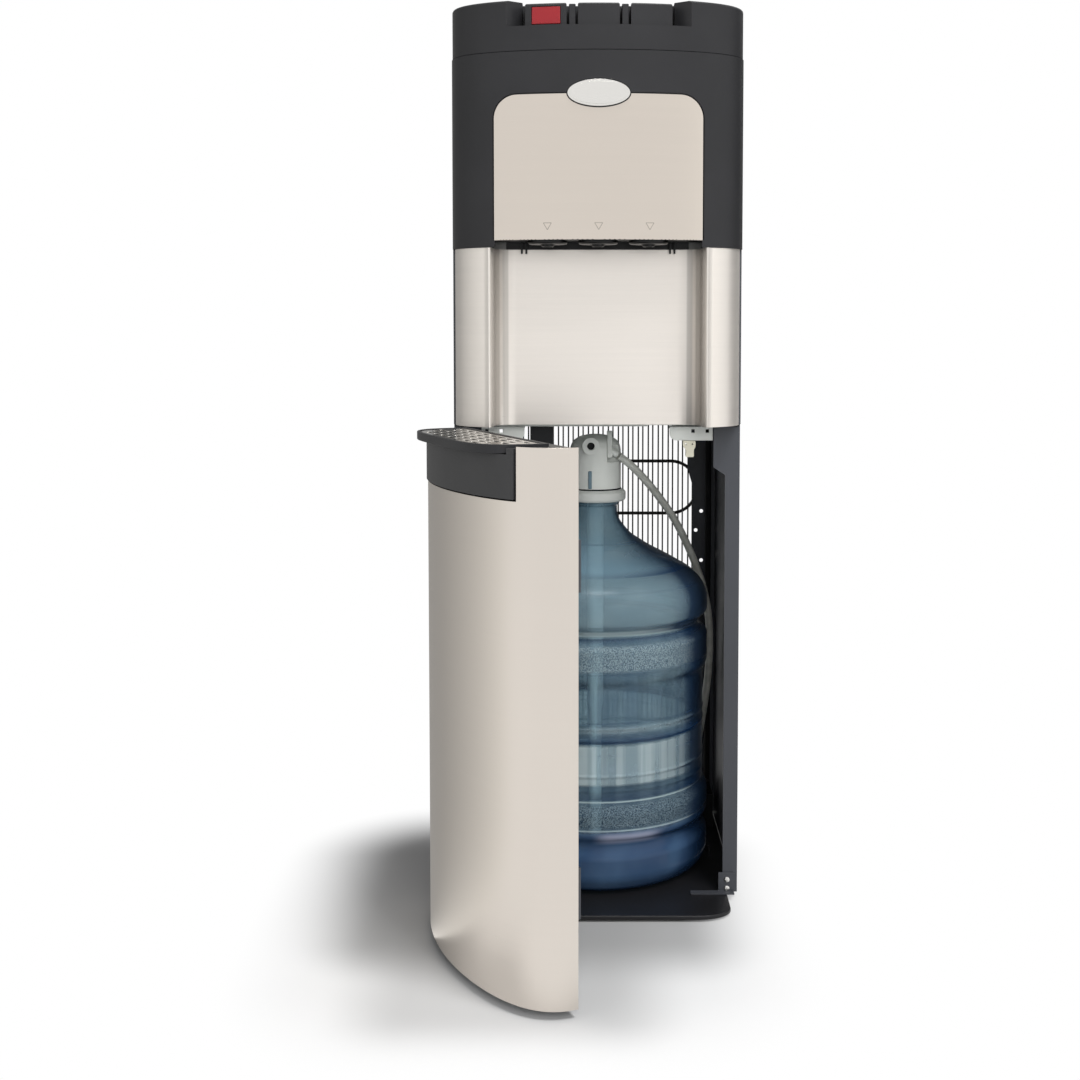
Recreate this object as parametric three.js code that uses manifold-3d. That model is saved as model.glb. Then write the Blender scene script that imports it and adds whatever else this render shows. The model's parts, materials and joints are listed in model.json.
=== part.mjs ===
// Bottom load water cooler: a bow-fronted steel cabinet whose lower door stands open on the water bottle.
// Millimetres. +X is right, +Y is towards the back, +Z is up. The origin is on the floor, under the middle
// of the side panels' front flanges. The door is drawn closed and then turned on its hinge as a group.
import * as THREE from 'three';
import { mergeVertices } from 'three/addons/utils/BufferGeometryUtils.js';
import Module from 'manifold-3d';

const wasm = await Module();
wasm.setup();

// ---- Driving dimensions ----

const gap = 0.3; // between pieces that rest on or touch each other
const past = 2; // how far a cutting body runs past the face it opens

const cabinetWidth = 330;
const cabinetDepth = 288; // side panels, front flange to rear flange
const bowDepth = 81; // how far the front swells ahead of its straight ends
const bowSetback = 5; // the bow's ends stand this far ahead of the flanges
const bowFlatness = 1.91; // exponents of the bow's plan curve
const bowShoulder = 2.57;
const bowSteps = 24;

const sheet = 1.2; // sheet steel of the casing
const doorAngle = 67; // how far the door stands open, degrees
const hingeX = -157;
const hingeY = -16;

// heights, stacked from the floor
const footHeight = 1.9;
const baseThickness = 5;
const hingePlate = 1.7;
const doorGap = 0.4; // door above the lower hinge plate
const doorHeight = 546.2;
const trayProud = 3; // the drip tray's rim above the door
const trayHeadroom = 0.7; // under the steel columns
const alcoveHeight = 199.2;
const fasciaHeight = 211.6;
const seam = 0.4; // fascia to top cover
const coverHeight = 55;

const baseUnderside = footHeight + gap;
const baseTop = baseUnderside + baseThickness;
const plateFoot = baseTop + gap;
const plateTop = plateFoot + hingePlate;
const doorFoot = plateTop + doorGap;
const doorTop = doorFoot + doorHeight;
const rimTop = doorTop + trayProud;
const alcoveFoot = rimTop + trayHeadroom;
const alcoveTop = alcoveFoot + alcoveHeight;
const fasciaFoot = alcoveTop + gap;
const fasciaTop = fasciaFoot + fasciaHeight;
const coverFoot = fasciaTop + seam;
const coverTop = coverFoot + coverHeight;

// side panels
const frontFlange = 17;
const wideFlange = 30.5; // upper stretch of the front flange, beside the brackets
const wideFlangeDrop = 47; // how far it reaches down from the door's top
const flangeChamfer = 9;
const rearFlange = 31;
const rearFlangeWide = 38;
const rearTaperTop = 480;
const rearTaperDrop = 24;
const hemWidth = 2.4; // folded front edge beside the alcove columns

// base
const baseFrontHalf = 153;
const baseFront = 72; // ahead of the flanges
const baseCornerX = 38;
const baseCornerY = 27;
const baseStep = 30; // behind this the base runs out under the panels
const guideHeight = 12;
const guideWall = 2.5;
const footRadius = 14;
const plinthHalf = 60; // shallow plinth under the bottle, level with the feet
const plinthFront = -30;

// bottle and probe
const bottleY = 122;
const bottleRadius = 139.4;
const bottleWall = 1.8;
const neckRadius = 26.8;
const bottleSides = 24;
const capRadius = 31.5;
const capSides = 24;
const collarRadius = 37.5;
const dipRadius = 10;
const dipTipRadius = 8;
const hoseDiameter = 9.5;

// controls
const paddleWidth = 45.5;
const paddlePitch = 57.6;
const paddleHeight = 26.5;
const paddleTravel = 3.5;
const lockTravel = 3;
const lockWidth = 31;
const lockHeight = 16.4;
const recessDepth = 28; // from the cover's top down to the front lip
const lipDrop = 6.5; // pocket floor under the front lip
const recessHalf = 102;
const pocketHalf = 83.4;
const pocketBack = -42;
const cheekFront = -58; // where the recess's angled cheeks end
const coverWall = 3;
const spacerWidth = 7.4;

// fascia
const fasciaWall = 3.2;
const plateHalf = 114.8;
const plateSheet = 1.2;
const plateBottom = 7.5; // above the fascia's foot
const plateHeight = 157.5;
const plateCorner = 25;
const plateShadow = 0.9; // gap all round the plate
const badgeHalfWidth = 34;
const badgeHalfHeight = 14.5;
const badgeThickness = 2.6;

// alcove
const alcoveSheet = 1;
const columnInner = 119.3;
const alcoveBack = -15;
const alcoveFillet = 25;
const columnCorner = 3;
const nozzlePitch = 56;
const nozzleRadius = 8.5;
const nozzleBore = 4.5;
const nozzleSides = 12;
const outletRing = 22; // radius of the round collar about each nozzle
const outletDrop = 4.5; // how far the collar hangs under the carrier

// door
const doorHalf = 163;
const doorSetback = 6;
const doorSheet = 1;
const linerDepth = 14.5;
const linerWall = 2.5;
const handleHalf = 131;
const handleHeight = 49.5;
const handleWall = 3;
const handleProud = 1.5; // the handle plate stands this far ahead of the skin
const capHeight = 23.8;
const capWall = 3;
const pinRadius = 3;
const pinSides = 14;
const catchThickness = 3.5;

// drip tray, in the closed door's frame
const trayHalf = 123;
const trayBack = -20;
const trayReach = 74;
const traySquareness = 4; // exponent of the rim's plan curve
const trayClearance = 0.6; // all round the tray in its seat
const rimHeight = 8.8;
const tubHalf = 117;
const tubDepth = 9.2; // under the rim
const tubWall = 2.5;
const rimLedge = 4.5; // width of the rim left outside the grille
const grilleSheet = 1.5;
const grilleLedge = 2.2; // the grille's underside below the rim's top
const grilleSeat = 3.8; // width of the ledge that the grille rests on
const slotRows = 5;
const slotFirst = 9; // first row of slots, ahead of the grille's back edge
const slotRowPitch = 11.4;
const slotPitch = 24;
const slotLength = 17.5;
const slotWidth = 5.2;
const slotMargin = 6; // metal left outside the last slot of a row

// condenser
const rowPitch = 71;
const rowCount = 8;
const rowFoot = 134;
const rowHalf = 105;
const condenserTube = 4.4;
const condenserY = 296;
const wirePitch = 13.5;
const wireCount = 20;
const wireSize = 1.6;
const wireSink = 0.8; // a wire's edge welded into the tube
const wireOverhang = 12;

// inside the upper cabinet
const shelfRise = 9; // mid shelf above the alcove's foot
const tankShelfRise = 203; // tank shelf above the mid shelf

// ---- Materials ----

function finish(color, roughness, metalness, opacity = 1) {
  return new THREE.MeshStandardMaterial({ color, roughness, metalness, opacity, transparent: opacity < 1 });
}

const blackPlastic = finish(0x3c3c3f, 0.45, 0);
const paintedSteel = finish(0x48484c, 0.5, 0.3);
const darkSteel = finish(0x151617, 0.5, 0.3);
const brushedSteel = finish(0xded5cc, 0.32, 1);
const paleBadge = finish(0xd8d8d6, 0.25, 0.8);
const redPlastic = finish(0xbe3237, 0.35, 0);
const whitePlastic = finish(0xc8cbc6, 0.5, 0);
const creamPlastic = finish(0xe6e2cf, 0.5, 0);
const greyTube = finish(0x82827d, 0.4, 0);
const blueBottle = finish(0x7891a5, 0.1, 0, 0.4);
const paleTube = finish(0xa9b8bd, 0.35, 0);
const zinc = finish(0xb8b8b6, 0.3, 1);
const rubber = finish(0x1c1c1c, 0.9, 0);
const foam = finish(0xe8e8e4, 0.9, 0);
const boardGreen = finish(0x1f5a38, 0.6, 0);

// ---- Solids ----

function solid(geometry) {
  const bare = geometry.index ? geometry.toNonIndexed() : geometry.clone();
  bare.deleteAttribute('normal');
  bare.deleteAttribute('uv');
  const merged = mergeVertices(bare, 1e-4);
  const vertProperties = new Float32Array(merged.attributes.position.array);
  const triVerts = new Uint32Array(merged.index.array);
  return new wasm.Manifold(new wasm.Mesh({ numProp: 3, vertProperties, triVerts }));
}

function cut(body, ...tools) {
  return tools.reduce((left, tool) => left.subtract(tool), body);
}

function join(...bodies) {
  return bodies.reduce((sum, body) => sum.add(body));
}

function common(body, other) {
  return body.intersect(other);
}

function prism(outline, foot, top) {
  const geometry = new THREE.ExtrudeGeometry(new THREE.Shape(outline), { depth: top - foot, bevelEnabled: false });
  return solid(geometry.translate(0, 0, foot));
}

// A prism along Y: the outline is drawn in X and Z.
function prismAlongY(outline, front, back) {
  const extrude = { depth: back - front, bevelEnabled: false };
  const geometry = new THREE.ExtrudeGeometry(new THREE.Shape(outline), extrude);
  return solid(geometry.rotateX(Math.PI / 2).translate(0, back, 0));
}

function box(left, right, front, back, foot, top) {
  const geometry = new THREE.BoxGeometry(right - left, back - front, top - foot);
  return solid(geometry.translate((left + right) / 2, (front + back) / 2, (foot + top) / 2));
}

function cylinder(radius, foot, top, x = 0, y = 0, sides = 20) {
  const geometry = new THREE.CylinderGeometry(radius, radius, top - foot, sides);
  return solid(geometry.rotateX(Math.PI / 2).translate(x, y, (foot + top) / 2));
}

// A cylinder along Y, from front to back.
function barrel(radius, front, back, x, z, sides = 20) {
  const geometry = new THREE.CylinderGeometry(radius, radius, back - front, sides);
  return solid(geometry.translate(x, (front + back) / 2, z));
}

// Turned about a vertical axis; the profile holds [radius, height] pairs.
function turned(profile, x, y, sides) {
  const points = profile.map(([radius, height]) => new THREE.Vector2(radius, height));
  return solid(new THREE.LatheGeometry(points, sides).rotateX(Math.PI / 2).translate(x, y, 0));
}

function skin(points, index) {
  const geometry = new THREE.BufferGeometry();
  const positions = points.flatMap((p) => p.toArray());
  geometry.setAttribute('position', new THREE.Float32BufferAttribute(positions, 3));
  geometry.setIndex(index);
  return solid(geometry);
}

// Skin through horizontal rings of equal count, from the lowest to the highest, closed at both ends.
function loft(rings) {
  const count = rings[0].length;
  const index = [];
  for (let k = 0; k + 1 < rings.length; k++) {
    for (let i = 0; i < count; i++) {
      const a = k * count + i;
      const b = k * count + ((i + 1) % count);
      index.push(a, b, a + count, b, b + count, a + count);
    }
  }
  const flat = rings.map((ring) => ring.map((p) => new THREE.Vector2(p.x, p.y)));
  for (const [a, b, c] of THREE.ShapeUtils.triangulateShape(flat[0], [])) {
    index.push(a, c, b);
  }
  const top = (rings.length - 1) * count;
  for (const [a, b, c] of THREE.ShapeUtils.triangulateShape(flat.at(-1), [])) {
    index.push(top + a, top + b, top + c);
  }
  return skin(rings.flat(), index);
}

// A round tube along a smooth curve through the points.
function tube(points, diameter, sides, steps) {
  const curve = new THREE.CatmullRomCurve3(points.map((p) => new THREE.Vector3(...p)));
  return sweep(curve, diameter, sides, steps);
}

function sweep(curve, diameter, sides, steps) {
  const section = new THREE.Shape();
  section.absarc(0, 0, diameter / 2, 0, 2 * Math.PI);
  const points = section.getSpacedPoints(sides).slice(0, sides);
  const extrude = { steps, extrudePath: curve, bevelEnabled: false };
  return solid(new THREE.ExtrudeGeometry(new THREE.Shape(points), extrude));
}

// The same body on the other side of the cabinet's middle plane.
function mirrored(body) {
  const made = body.getMesh();
  const vertProperties = new Float32Array(made.vertProperties);
  for (let i = 0; i < vertProperties.length; i += 3) {
    vertProperties[i] = -vertProperties[i];
  }
  const triVerts = new Uint32Array(made.triVerts).reverse();
  return new wasm.Manifold(new wasm.Mesh({ numProp: 3, vertProperties, triVerts }));
}

const v2 = (x, y) => new THREE.Vector2(x, y);

// The strip of material that lies to the left of an open path, as a closed outline.
function strip(path, thickness) {
  const far = path.map((p, i) => {
    const before = i > 0 ? p.clone().sub(path[i - 1]).normalize() : null;
    const after = i + 1 < path.length ? path[i + 1].clone().sub(p).normalize() : null;
    const along = before && after ? before.clone().add(after).normalize() : (before ?? after);
    const stretch = before && after ? 1 / Math.max(0.35, along.dot(after)) : 1;
    return p.clone().add(v2(-along.y, along.x).multiplyScalar(thickness * stretch));
  });
  return [...path, ...far.reverse()];
}

// Points on an arc, in degrees, with both ends.
function arc(x, y, radiusX, radiusY, from, to, steps) {
  return Array.from({ length: steps + 1 }, (_, i) => {
    const angle = THREE.MathUtils.degToRad(from + ((to - from) * i) / steps);
    return v2(x + radiusX * Math.cos(angle), y + radiusY * Math.sin(angle));
  });
}

function rectangle(left, right, low, high) {
  return [v2(left, low), v2(right, low), v2(right, high), v2(left, high)];
}

// ---- The bowed front ----

const cabinetBow = { half: cabinetWidth / 2, setback: bowSetback };
const doorBow = { half: doorHalf, setback: doorSetback };

function bowY(bow, x, inset = 0) {
  const share = Math.min(1, Math.abs(x) / (bow.half - inset));
  return -bow.setback - (bowDepth - inset) * (1 - share ** bowFlatness) ** (1 / bowShoulder);
}

// The bow's plan curve from left to right, drawn in by an inset; its points crowd where it turns.
function bowCurve(bow, inset = 0) {
  return Array.from({ length: bowSteps + 1 }, (_, i) => {
    const side = (2 * i) / bowSteps - 1;
    const share = Math.sign(side) * (1 - (1 - Math.abs(side)) ** 2.2);
    const x = share * (bow.half - inset);
    return v2(x, bowY(bow, x, inset));
  });
}

// A curved wall between two insets.
function bowWall(bow, outer, inner, foot, top) {
  return prism([...bowCurve(bow, outer), ...bowCurve(bow, inner).reverse()], foot, top);
}

// Everything behind the bow, back to a straight line.
function bowBlock(bow, inset, back, foot, top) {
  const half = bow.half - inset;
  const far = Math.max(back, 0) + past;
  const block = prism([...bowCurve(bow, inset), v2(half, far), v2(-half, far)], foot, top);
  return cut(block, box(-half - past, half + past, back, far + past, foot - past, top + past));
}

// A D-shaped outline with a straight back and a squared-off front.
function dOutline(half, back, reach, steps = 20) {
  return Array.from({ length: steps + 1 }, (_, i) => {
    const angle = Math.PI * (1 - i / steps);
    const x = Math.sign(Math.cos(angle)) * Math.abs(Math.cos(angle)) ** (2 / traySquareness);
    return v2(half * x, back - reach * Math.sin(angle) ** (2 / traySquareness));
  });
}

// ---- Assembly ----

const cooler = new THREE.Group();

// The door and what it carries turn together about the hinge.
const doorSwing = new THREE.Group();
doorSwing.position.set(hingeX, hingeY, 0);
doorSwing.rotation.z = -THREE.MathUtils.degToRad(doorAngle);
const doorClosed = new THREE.Group();
doorClosed.position.set(-hingeX, -hingeY, 0);
doorSwing.add(doorClosed);
cooler.add(doorSwing);

function add(name, body, material, group = cooler) {
  const made = body.getMesh();
  const geometry = new THREE.BufferGeometry();
  geometry.setAttribute('position', new THREE.BufferAttribute(new Float32Array(made.vertProperties), 3));
  geometry.setIndex(new THREE.BufferAttribute(new Uint32Array(made.triVerts), 1));
  geometry.computeVertexNormals();
  const mesh = new THREE.Mesh(geometry, material);
  mesh.name = name;
  group.add(mesh);
}

// ---- Base pan and feet ----

function basePan() {
  const wide = cabinetWidth / 2 - 0.5;
  const rear = cabinetDepth - 0.5;
  const corner = arc(baseFrontHalf - baseCornerX, baseCornerY - baseFront, baseCornerX, baseCornerY, -90, 0, 6);
  const rightSide = [v2(baseFrontHalf, baseStep - 5), v2(wide, baseStep + 5), v2(wide, rear)];
  const right = [...corner, ...rightSide];
  const left = right.map((p) => v2(-p.x, p.y)).reverse();
  const slab = prism([...right, ...left], baseUnderside, baseTop);
  const inner = bottleRadius + 2.5;
  const guide = strip(arc(0, bottleY, inner, inner, 180, 0, 18), guideWall);
  const plinth = box(-plinthHalf, plinthHalf, plinthFront, bottleY + plinthHalf, 0, baseTop - 1);
  return join(slab, plinth, prism(guide, baseTop - 1, baseTop + guideHeight));
}

function feet() {
  const inset = footRadius + 8;
  const places = {
    foot_front_left: [-baseFrontHalf + inset, -baseFront + 34],
    foot_front_right: [baseFrontHalf - inset, -baseFront + 34],
    foot_rear_left: [-cabinetWidth / 2 + inset, cabinetDepth - inset],
    foot_rear_right: [cabinetWidth / 2 - inset, cabinetDepth - inset],
  };
  for (const [name, [x, y]] of Object.entries(places)) {
    add(name, turned([[0, 0], [footRadius - 1, 0], [footRadius, 0.8], [footRadius, footHeight], [0, footHeight]],
      x, y, 16), rubber);
  }
}

// ---- Side panels ----

const panelFoot = baseTop + gap;
const flangeTop = doorTop + 0.2;
const flangeHoles = [[145.8, 422], [138.5, 396], [155.4, 396], [155.4, 363], [146, 355], [146.4, 282]];

function sidePanel() {
  const out = cabinetWidth / 2;
  const rear = cabinetDepth;
  // path runs front flange, front corner, rear corner, rear flange, with the steel on its left
  const lowerPath = [v2(out - wideFlange, 0), v2(out, 0), v2(out, rear), v2(out - rearFlangeWide, rear)];
  const lower = prism(strip(lowerPath, sheet), panelFoot, flangeTop);
  const upperPath = [v2(out, 0), v2(out, rear), v2(out - rearFlangeWide, rear)];
  const upper = prism(strip(upperPath, sheet), flangeTop - 1, fasciaTop);
  const hem = box(out - hemWidth, out, -bowSetback, sheet, alcoveFoot, alcoveTop);
  const wideFoot = flangeTop - wideFlangeDrop;
  const narrow = [v2(out - wideFlange - past, -past), v2(out - frontFlange, -past),
    v2(out - frontFlange, wideFoot - flangeChamfer), v2(out - wideFlange, wideFoot),
    v2(out - wideFlange - past, wideFoot)];
  const frontCut = prismAlongY(narrow, -past, sheet + past);
  const inner = out - rearFlangeWide;
  const taper = [v2(inner - past, -past), v2(out - rearFlange, -past), v2(out - rearFlange, rearTaperTop - rearTaperDrop),
    v2(inner, rearTaperTop), v2(inner - past, rearTaperTop)];
  const rearCut = prismAlongY(taper, rear - sheet - past, rear + past);
  const holes = flangeHoles.map(([x, z]) => barrel(2.6, rear - sheet - past, rear + past, x, z, 10));
  return cut(join(lower, upper, hem), frontCut, rearCut, ...holes);
}

// ---- Rear panel, shelves and their lips ----

const innerHalf = cabinetWidth / 2 - sheet - gap;
const shelfFoot = alcoveFoot + shelfRise;
const shelfTop = shelfFoot + 1.5;
const tankShelfFoot = shelfTop + tankShelfRise;
const tankShelfTop = tankShelfFoot + 1.5;
const rearSheetBack = cabinetDepth - sheet - gap;
const rearSheetFront = rearSheetBack - 1;

function rearPanel() {
  const panel = box(-innerHalf + 1, innerHalf - 1, rearSheetFront, rearSheetBack, shelfTop + gap, fasciaTop - 1);
  const slots = [];
  for (let row = 0; row < 6; row++) {
    for (const side of [-1, 1]) {
      const z = tankShelfTop + 60 + row * 14;
      slots.push(box(side * 62 - 38, side * 62 + 38, rearSheetFront - past, rearSheetBack + past, z, z + 4));
    }
  }
  return cut(panel, ...slots);
}

const lipFront = 3;
const lipFoot = alcoveFoot - 3.3;
const lipStepX = 58; // right of this the lip is shorter

function midShelf() {
  const deck = box(-innerHalf, innerHalf, lipFront, rearSheetFront - gap, shelfFoot, shelfTop);
  const lipHalf = cabinetWidth / 2 - wideFlange - gap;
  const lip = box(-lipHalf, lipHalf, lipFront, lipFront + 1.5, lipFoot, shelfFoot + 0.5);
  const step = box(lipStepX, lipHalf + past, lipFront - past, lipFront + 1.5 + past, lipFoot - past, lipFoot + 1.4);
  return cut(join(deck, lip), step);
}

function tankShelf() {
  const deck = box(-innerHalf, innerHalf, 30, rearSheetFront - gap, tankShelfFoot, tankShelfTop);
  const flange = box(-innerHalf, innerHalf, 30, 31.5, tankShelfFoot - 14, tankShelfFoot + 0.5);
  return join(deck, flange);
}

// ---- Brackets under the alcove ----

const bracketInner = 84;
const bracketHeight = 16;
const bracketTop = lipFoot - gap;
const bracketFoot = bracketTop - bracketHeight;

function ceilingBracket() {
  const outer = cabinetWidth / 2 - wideFlange - 0.7;
  const round = arc(bracketInner + 8, bracketFoot + 8, 8, 8, 180, 270, 5);
  const face = [...round, v2(outer, bracketFoot), v2(outer, bracketTop), v2(bracketInner, bracketTop)];
  const front = prismAlongY(face, 2.2, 4.7);
  const shelf = box(bracketInner, outer, 4.2, 24, bracketTop - 2.4, bracketTop);
  const riser = box(bracketInner + 6, outer, 21.5, 24, bracketTop - 1, shelfFoot - gap);
  const holes = [111, 127.5].map((x) => box(x - 2, x + 2, 0, 7, bracketTop - 7, bracketTop - 3));
  return cut(join(front, shelf, riser), ...holes);
}

function probeHanger() {
  const top = bracketFoot - gap;
  const head = prismAlongY([v2(99.2, top), v2(99.2, top - 6), v2(102.4, top - 10), v2(102.4, top - 19),
    v2(112, top - 19), v2(112, top - 10), v2(114, top - 7), v2(114, top)].reverse(), 1.4, 7);
  const holes = [102.8, 110.4].map((x) => barrel(0.9, 0, 9, x, top - 3.8, 8));
  return cut(head, ...holes);
}

function interlockHousing() {
  const body = box(-77.5, -51, 5.2, 30, lipFoot - 21.6, shelfFoot - gap);
  return cut(body, box(-79, -49, 8, 27, lipFoot - 24, lipFoot - 20));
}

// ---- Hinge brackets, pins and the bracket at the right foot ----

const footBracketOuter = cabinetWidth / 2 - 4;
const footBracketInner = 143;
const footBracketReach = 110;

// Drawn for the right side: an upright on the flange and a flat leg along the base.
function footBracket() {
  const upright = box(footBracketInner, footBracketOuter, -1.5, -gap, plateFoot, plateFoot + 23.5);
  const leg = box(footBracketReach, footBracketOuter, -10, -gap, plateFoot, plateTop);
  const holes = [4.5, 15].map((rise) => barrel(1.6, -3, 1, 152.8, plateFoot + rise, 10));
  return cut(join(upright, leg), ...holes);
}

function hingeEar(foot, top, back) {
  const round = arc(hingeX, hingeY, 6, 6, -180, 0, 8);
  return prism([...round, v2(hingeX + 6, back), v2(hingeX - 6, back)], foot, top);
}

function pinHole(foot, top) {
  return cylinder(pinRadius + gap, foot, top, hingeX, hingeY, pinSides);
}

function hingeBracketLower() {
  const ear = hingeEar(plateFoot, plateTop, -gap);
  return cut(join(mirrored(footBracket()), ear), pinHole(plateFoot - 1, plateTop + 1));
}

const upperPlateFoot = doorTop + 0.7;
const upperPlateTop = upperPlateFoot + hingePlate;

function hingeBracketUpper() {
  const behind = sheet + gap;
  const ear = hingeEar(upperPlateFoot, upperPlateTop, behind + 1.7);
  const upright = box(hingeX - 4, hingeX + 17, behind, behind + 1.7, upperPlateFoot - 26, upperPlateTop);
  return cut(join(ear, upright), pinHole(upperPlateFoot - 1, upperPlateTop + 1));
}

// ---- Bottle, probe and hose ----

const bottleFoot = baseTop + gap;
const neckTop = bottleFoot + 468.7;

function waterBottle() {
  const r = bottleRadius;
  const z = (height) => bottleFoot + height;
  const outside = [[0, z(7)], [88, z(6)], [104, z(0)], [122, z(0)], [r - 7, z(7)], [r, z(20)], [r, z(43)],
    [r - 5.5, z(52)], [r - 6.4, z(57.3)], [r - 5, z(62)], [r, z(69)], [r, z(94)], [r - 4.6, z(104)],
    [r - 6, z(138)], [r - 5, z(141)], [r - 5, z(162)], [r - 6, z(166)], [r - 6, z(240)], [r - 0.8, z(251)],
    [r - 0.8, z(287)], [r - 10.2, z(301.5)], [r - 1, z(313)], [r - 0.5, z(334)], [r - 3.5, z(346)],
    [r - 14, z(360)], [r - 33, z(373)], [r - 69, z(391)], [r - 98, z(411)], [neckRadius + 1.5, z(427)],
    [neckRadius, z(434)], [neckRadius, z(443)], [neckRadius + 2.7, z(445)], [neckRadius + 2.7, z(448.3)],
    [neckRadius, z(449)], [neckRadius, neckTop]];
  const w = bottleWall;
  const inside = [[neckRadius - 2.4, neckTop], [neckRadius - 2.4, z(428)], [r - 98 - w, z(409)],
    [r - 69 - w, z(389)], [r - 33 - w, z(371)], [r - 14 - w, z(358)], [r - 1 - w, z(334)], [r - 10.2 - w, z(301.5)],
    [r - 0.8 - w, z(285)], [r - 0.8 - w, z(253)], [r - 6 - w, z(239)], [r - 6 - w, z(106)], [r - w, z(93)],
    [r - w, z(70)], [r - 6.4 - w, z(57.3)], [r - w, z(42)], [r - 1 - w, z(21)], [r - 9 - w, z(9)], [0, z(9)]];
  return turned([...outside, ...inside], 0, bottleY, bottleSides);
}

const collarFoot = bottleFoot + 449 + gap;
const collarTop = collarFoot + 14.6;
const capFoot = collarTop + gap;
const capTop = capFoot + 67.5;
const dipTop = neckTop + 24;
const bossX = -6;
const bossZ = capTop - 13;
const fittingX = 17;
const fittingY = bottleY - 20;
const hoseExitZ = capTop - 20.5;
const stubDroop = 0.5; // radians below level

function probeCollar() {
  const inner = neckRadius + 0.6;
  const profile = [[inner, collarFoot], [collarRadius - 2, collarFoot], [collarRadius, collarFoot + 2.5],
    [collarRadius, collarTop - 4], [collarRadius - 5, collarTop], [inner, collarTop], [inner, collarFoot]];
  return turned(profile, 0, bottleY, capSides);
}

function probeCap() {
  const bore = dipRadius + 0.4;
  const mouth = neckRadius + 0.6;
  const rest = neckTop + gap;
  const profile = [[mouth, capFoot], [capRadius, capFoot], [capRadius, capTop - 20], [capRadius - 1.5, capTop - 14],
    [capRadius - 7, capTop - 7], [capRadius - 18, capTop - 1.5], [0, capTop], [0, dipTop + gap],
    [bore, dipTop + gap], [bore, rest], [mouth, rest], [mouth, capFoot]];
  const dome = turned(profile, 0, bottleY, capSides);
  const boss = barrel(10.5, bottleY - 34, bottleY - 8, bossX, bossZ, 16);
  const port = barrel(4.7, bottleY - 40, bottleY - 24, bossX, bossZ, 12);
  const seat = box(fittingX - 3.6, fittingX + 3.6, fittingY - 15, fittingY + 6, capTop - 33, capTop + 9);
  const hoseWay = box(fittingX, capRadius + 9, fittingY - 15, fittingY + 8, hoseExitZ - 13, hoseExitZ + 7);
  return cut(join(dome, boss), port, seat, hoseWay);
}

function dipTube() {
  const tip = bottleFoot + 13;
  const shoulder = bottleFoot + 194;
  const profile = [[0, tip + 5], [dipTipRadius - 1.5, tip], [dipTipRadius, tip],
    [dipTipRadius, shoulder - 6], [dipRadius, shoulder], [dipRadius, dipTop], [0, dipTop]];
  return turned(profile, 0, bottleY, 16);
}

function hoseFitting() {
  const tab = box(fittingX - 3.3, fittingX + 3.3, fittingY - 6, fittingY + 5.7, capTop - 28, capTop + 5);
  const stub = new THREE.CylinderGeometry(4.2, 4.2, 12, 12).rotateZ(-Math.PI / 2).rotateY(stubDroop);
  return join(tab, solid(stub.translate(fittingX + 5, fittingY, hoseExitZ - 1)));
}

// Chosen by hand: out of the cap, over the bottle's shoulder, down behind it and into the pump.
const pumpX = 137;
const pumpY = 243;
const pumpTop = baseTop + 66;
const hoseRoute = [[28.4, 102.6, 513.3], [44, 109.5, 500.5], [62, 125, 481], [83, 145, 454], [102, 165, 425],
  [121, 180, 387], [138, 190, 343], [147.5, 196, 300], [150, 200, 262], [149, 206, 222], [146, 214, 186],
  [142, 225, 150], [138.5, 236, 120], [pumpX, pumpY, 96], [pumpX, pumpY, 81.5]];

// ---- Pump, delivery tube ----

function waterPump() {
  const motor = box(pumpX - 21, pumpX + 21, pumpY - 18, pumpY + 28, baseTop + gap, baseTop + 44);
  const head = cylinder(17, baseTop + 43, baseTop + 58, pumpX, pumpY, 20);
  const inlet = cylinder(5.5, baseTop + 57, pumpTop + 7.5, pumpX, pumpY, 12);
  const outlet = cylinder(4, baseTop + 43, baseTop + 52, pumpX + 16, pumpY + 23, 12);
  return join(motor, head, inlet, outlet);
}

function deliveryTube() {
  return cylinder(4, baseTop + 52 + gap, shelfFoot - gap, pumpX + 16, pumpY + 23, 10);
}

// ---- Condenser ----

// The tube's middle line: level rows joined by half circles at alternate ends.
function condenserLine() {
  const bend = rowPitch / 2;
  const line = [new THREE.Vector3(-rowHalf, condenserY, rowFoot)];
  for (let row = 0; row < rowCount; row++) {
    const side = row % 2 === 0 ? 1 : -1;
    const z = rowFoot + row * rowPitch;
    if (row + 1 === rowCount) {
      line.push(new THREE.Vector3(side * rowHalf, condenserY, z));
    } else {
      for (const p of arc(rowHalf, z + bend, bend, bend, -90, 90, 6)) {
        line.push(new THREE.Vector3(side * p.x, condenserY, p.y));
      }
    }
  }
  return line;
}

// A ring of points round each corner of the line, skinned into one unbroken tube.
function condenserTubing() {
  const sides = 6;
  const line = condenserLine();
  const back = new THREE.Vector3(0, 1, 0);
  const points = line.flatMap((corner, i) => {
    const along = line[Math.min(i + 1, line.length - 1)].clone().sub(line[Math.max(i - 1, 0)]).normalize();
    const across = back.clone().cross(along);
    return Array.from({ length: sides }, (_, k) => {
      const angle = (k * 2 * Math.PI) / sides;
      const radius = condenserTube / 2;
      return corner.clone().addScaledVector(across, radius * Math.sin(angle))
        .addScaledVector(back, radius * Math.cos(angle));
    });
  });
  const index = [];
  for (let i = 0; i + 1 < line.length; i++) {
    for (let k = 0; k < sides; k++) {
      const a = i * sides + k;
      const b = i * sides + ((k + 1) % sides);
      index.push(a, a + sides, b, b, a + sides, b + sides);
    }
  }
  const last = (line.length - 1) * sides;
  for (let k = 1; k + 1 < sides; k++) {
    index.push(0, k, k + 1, last, last + k + 1, last + k);
  }
  return skin(points, index);
}

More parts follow.
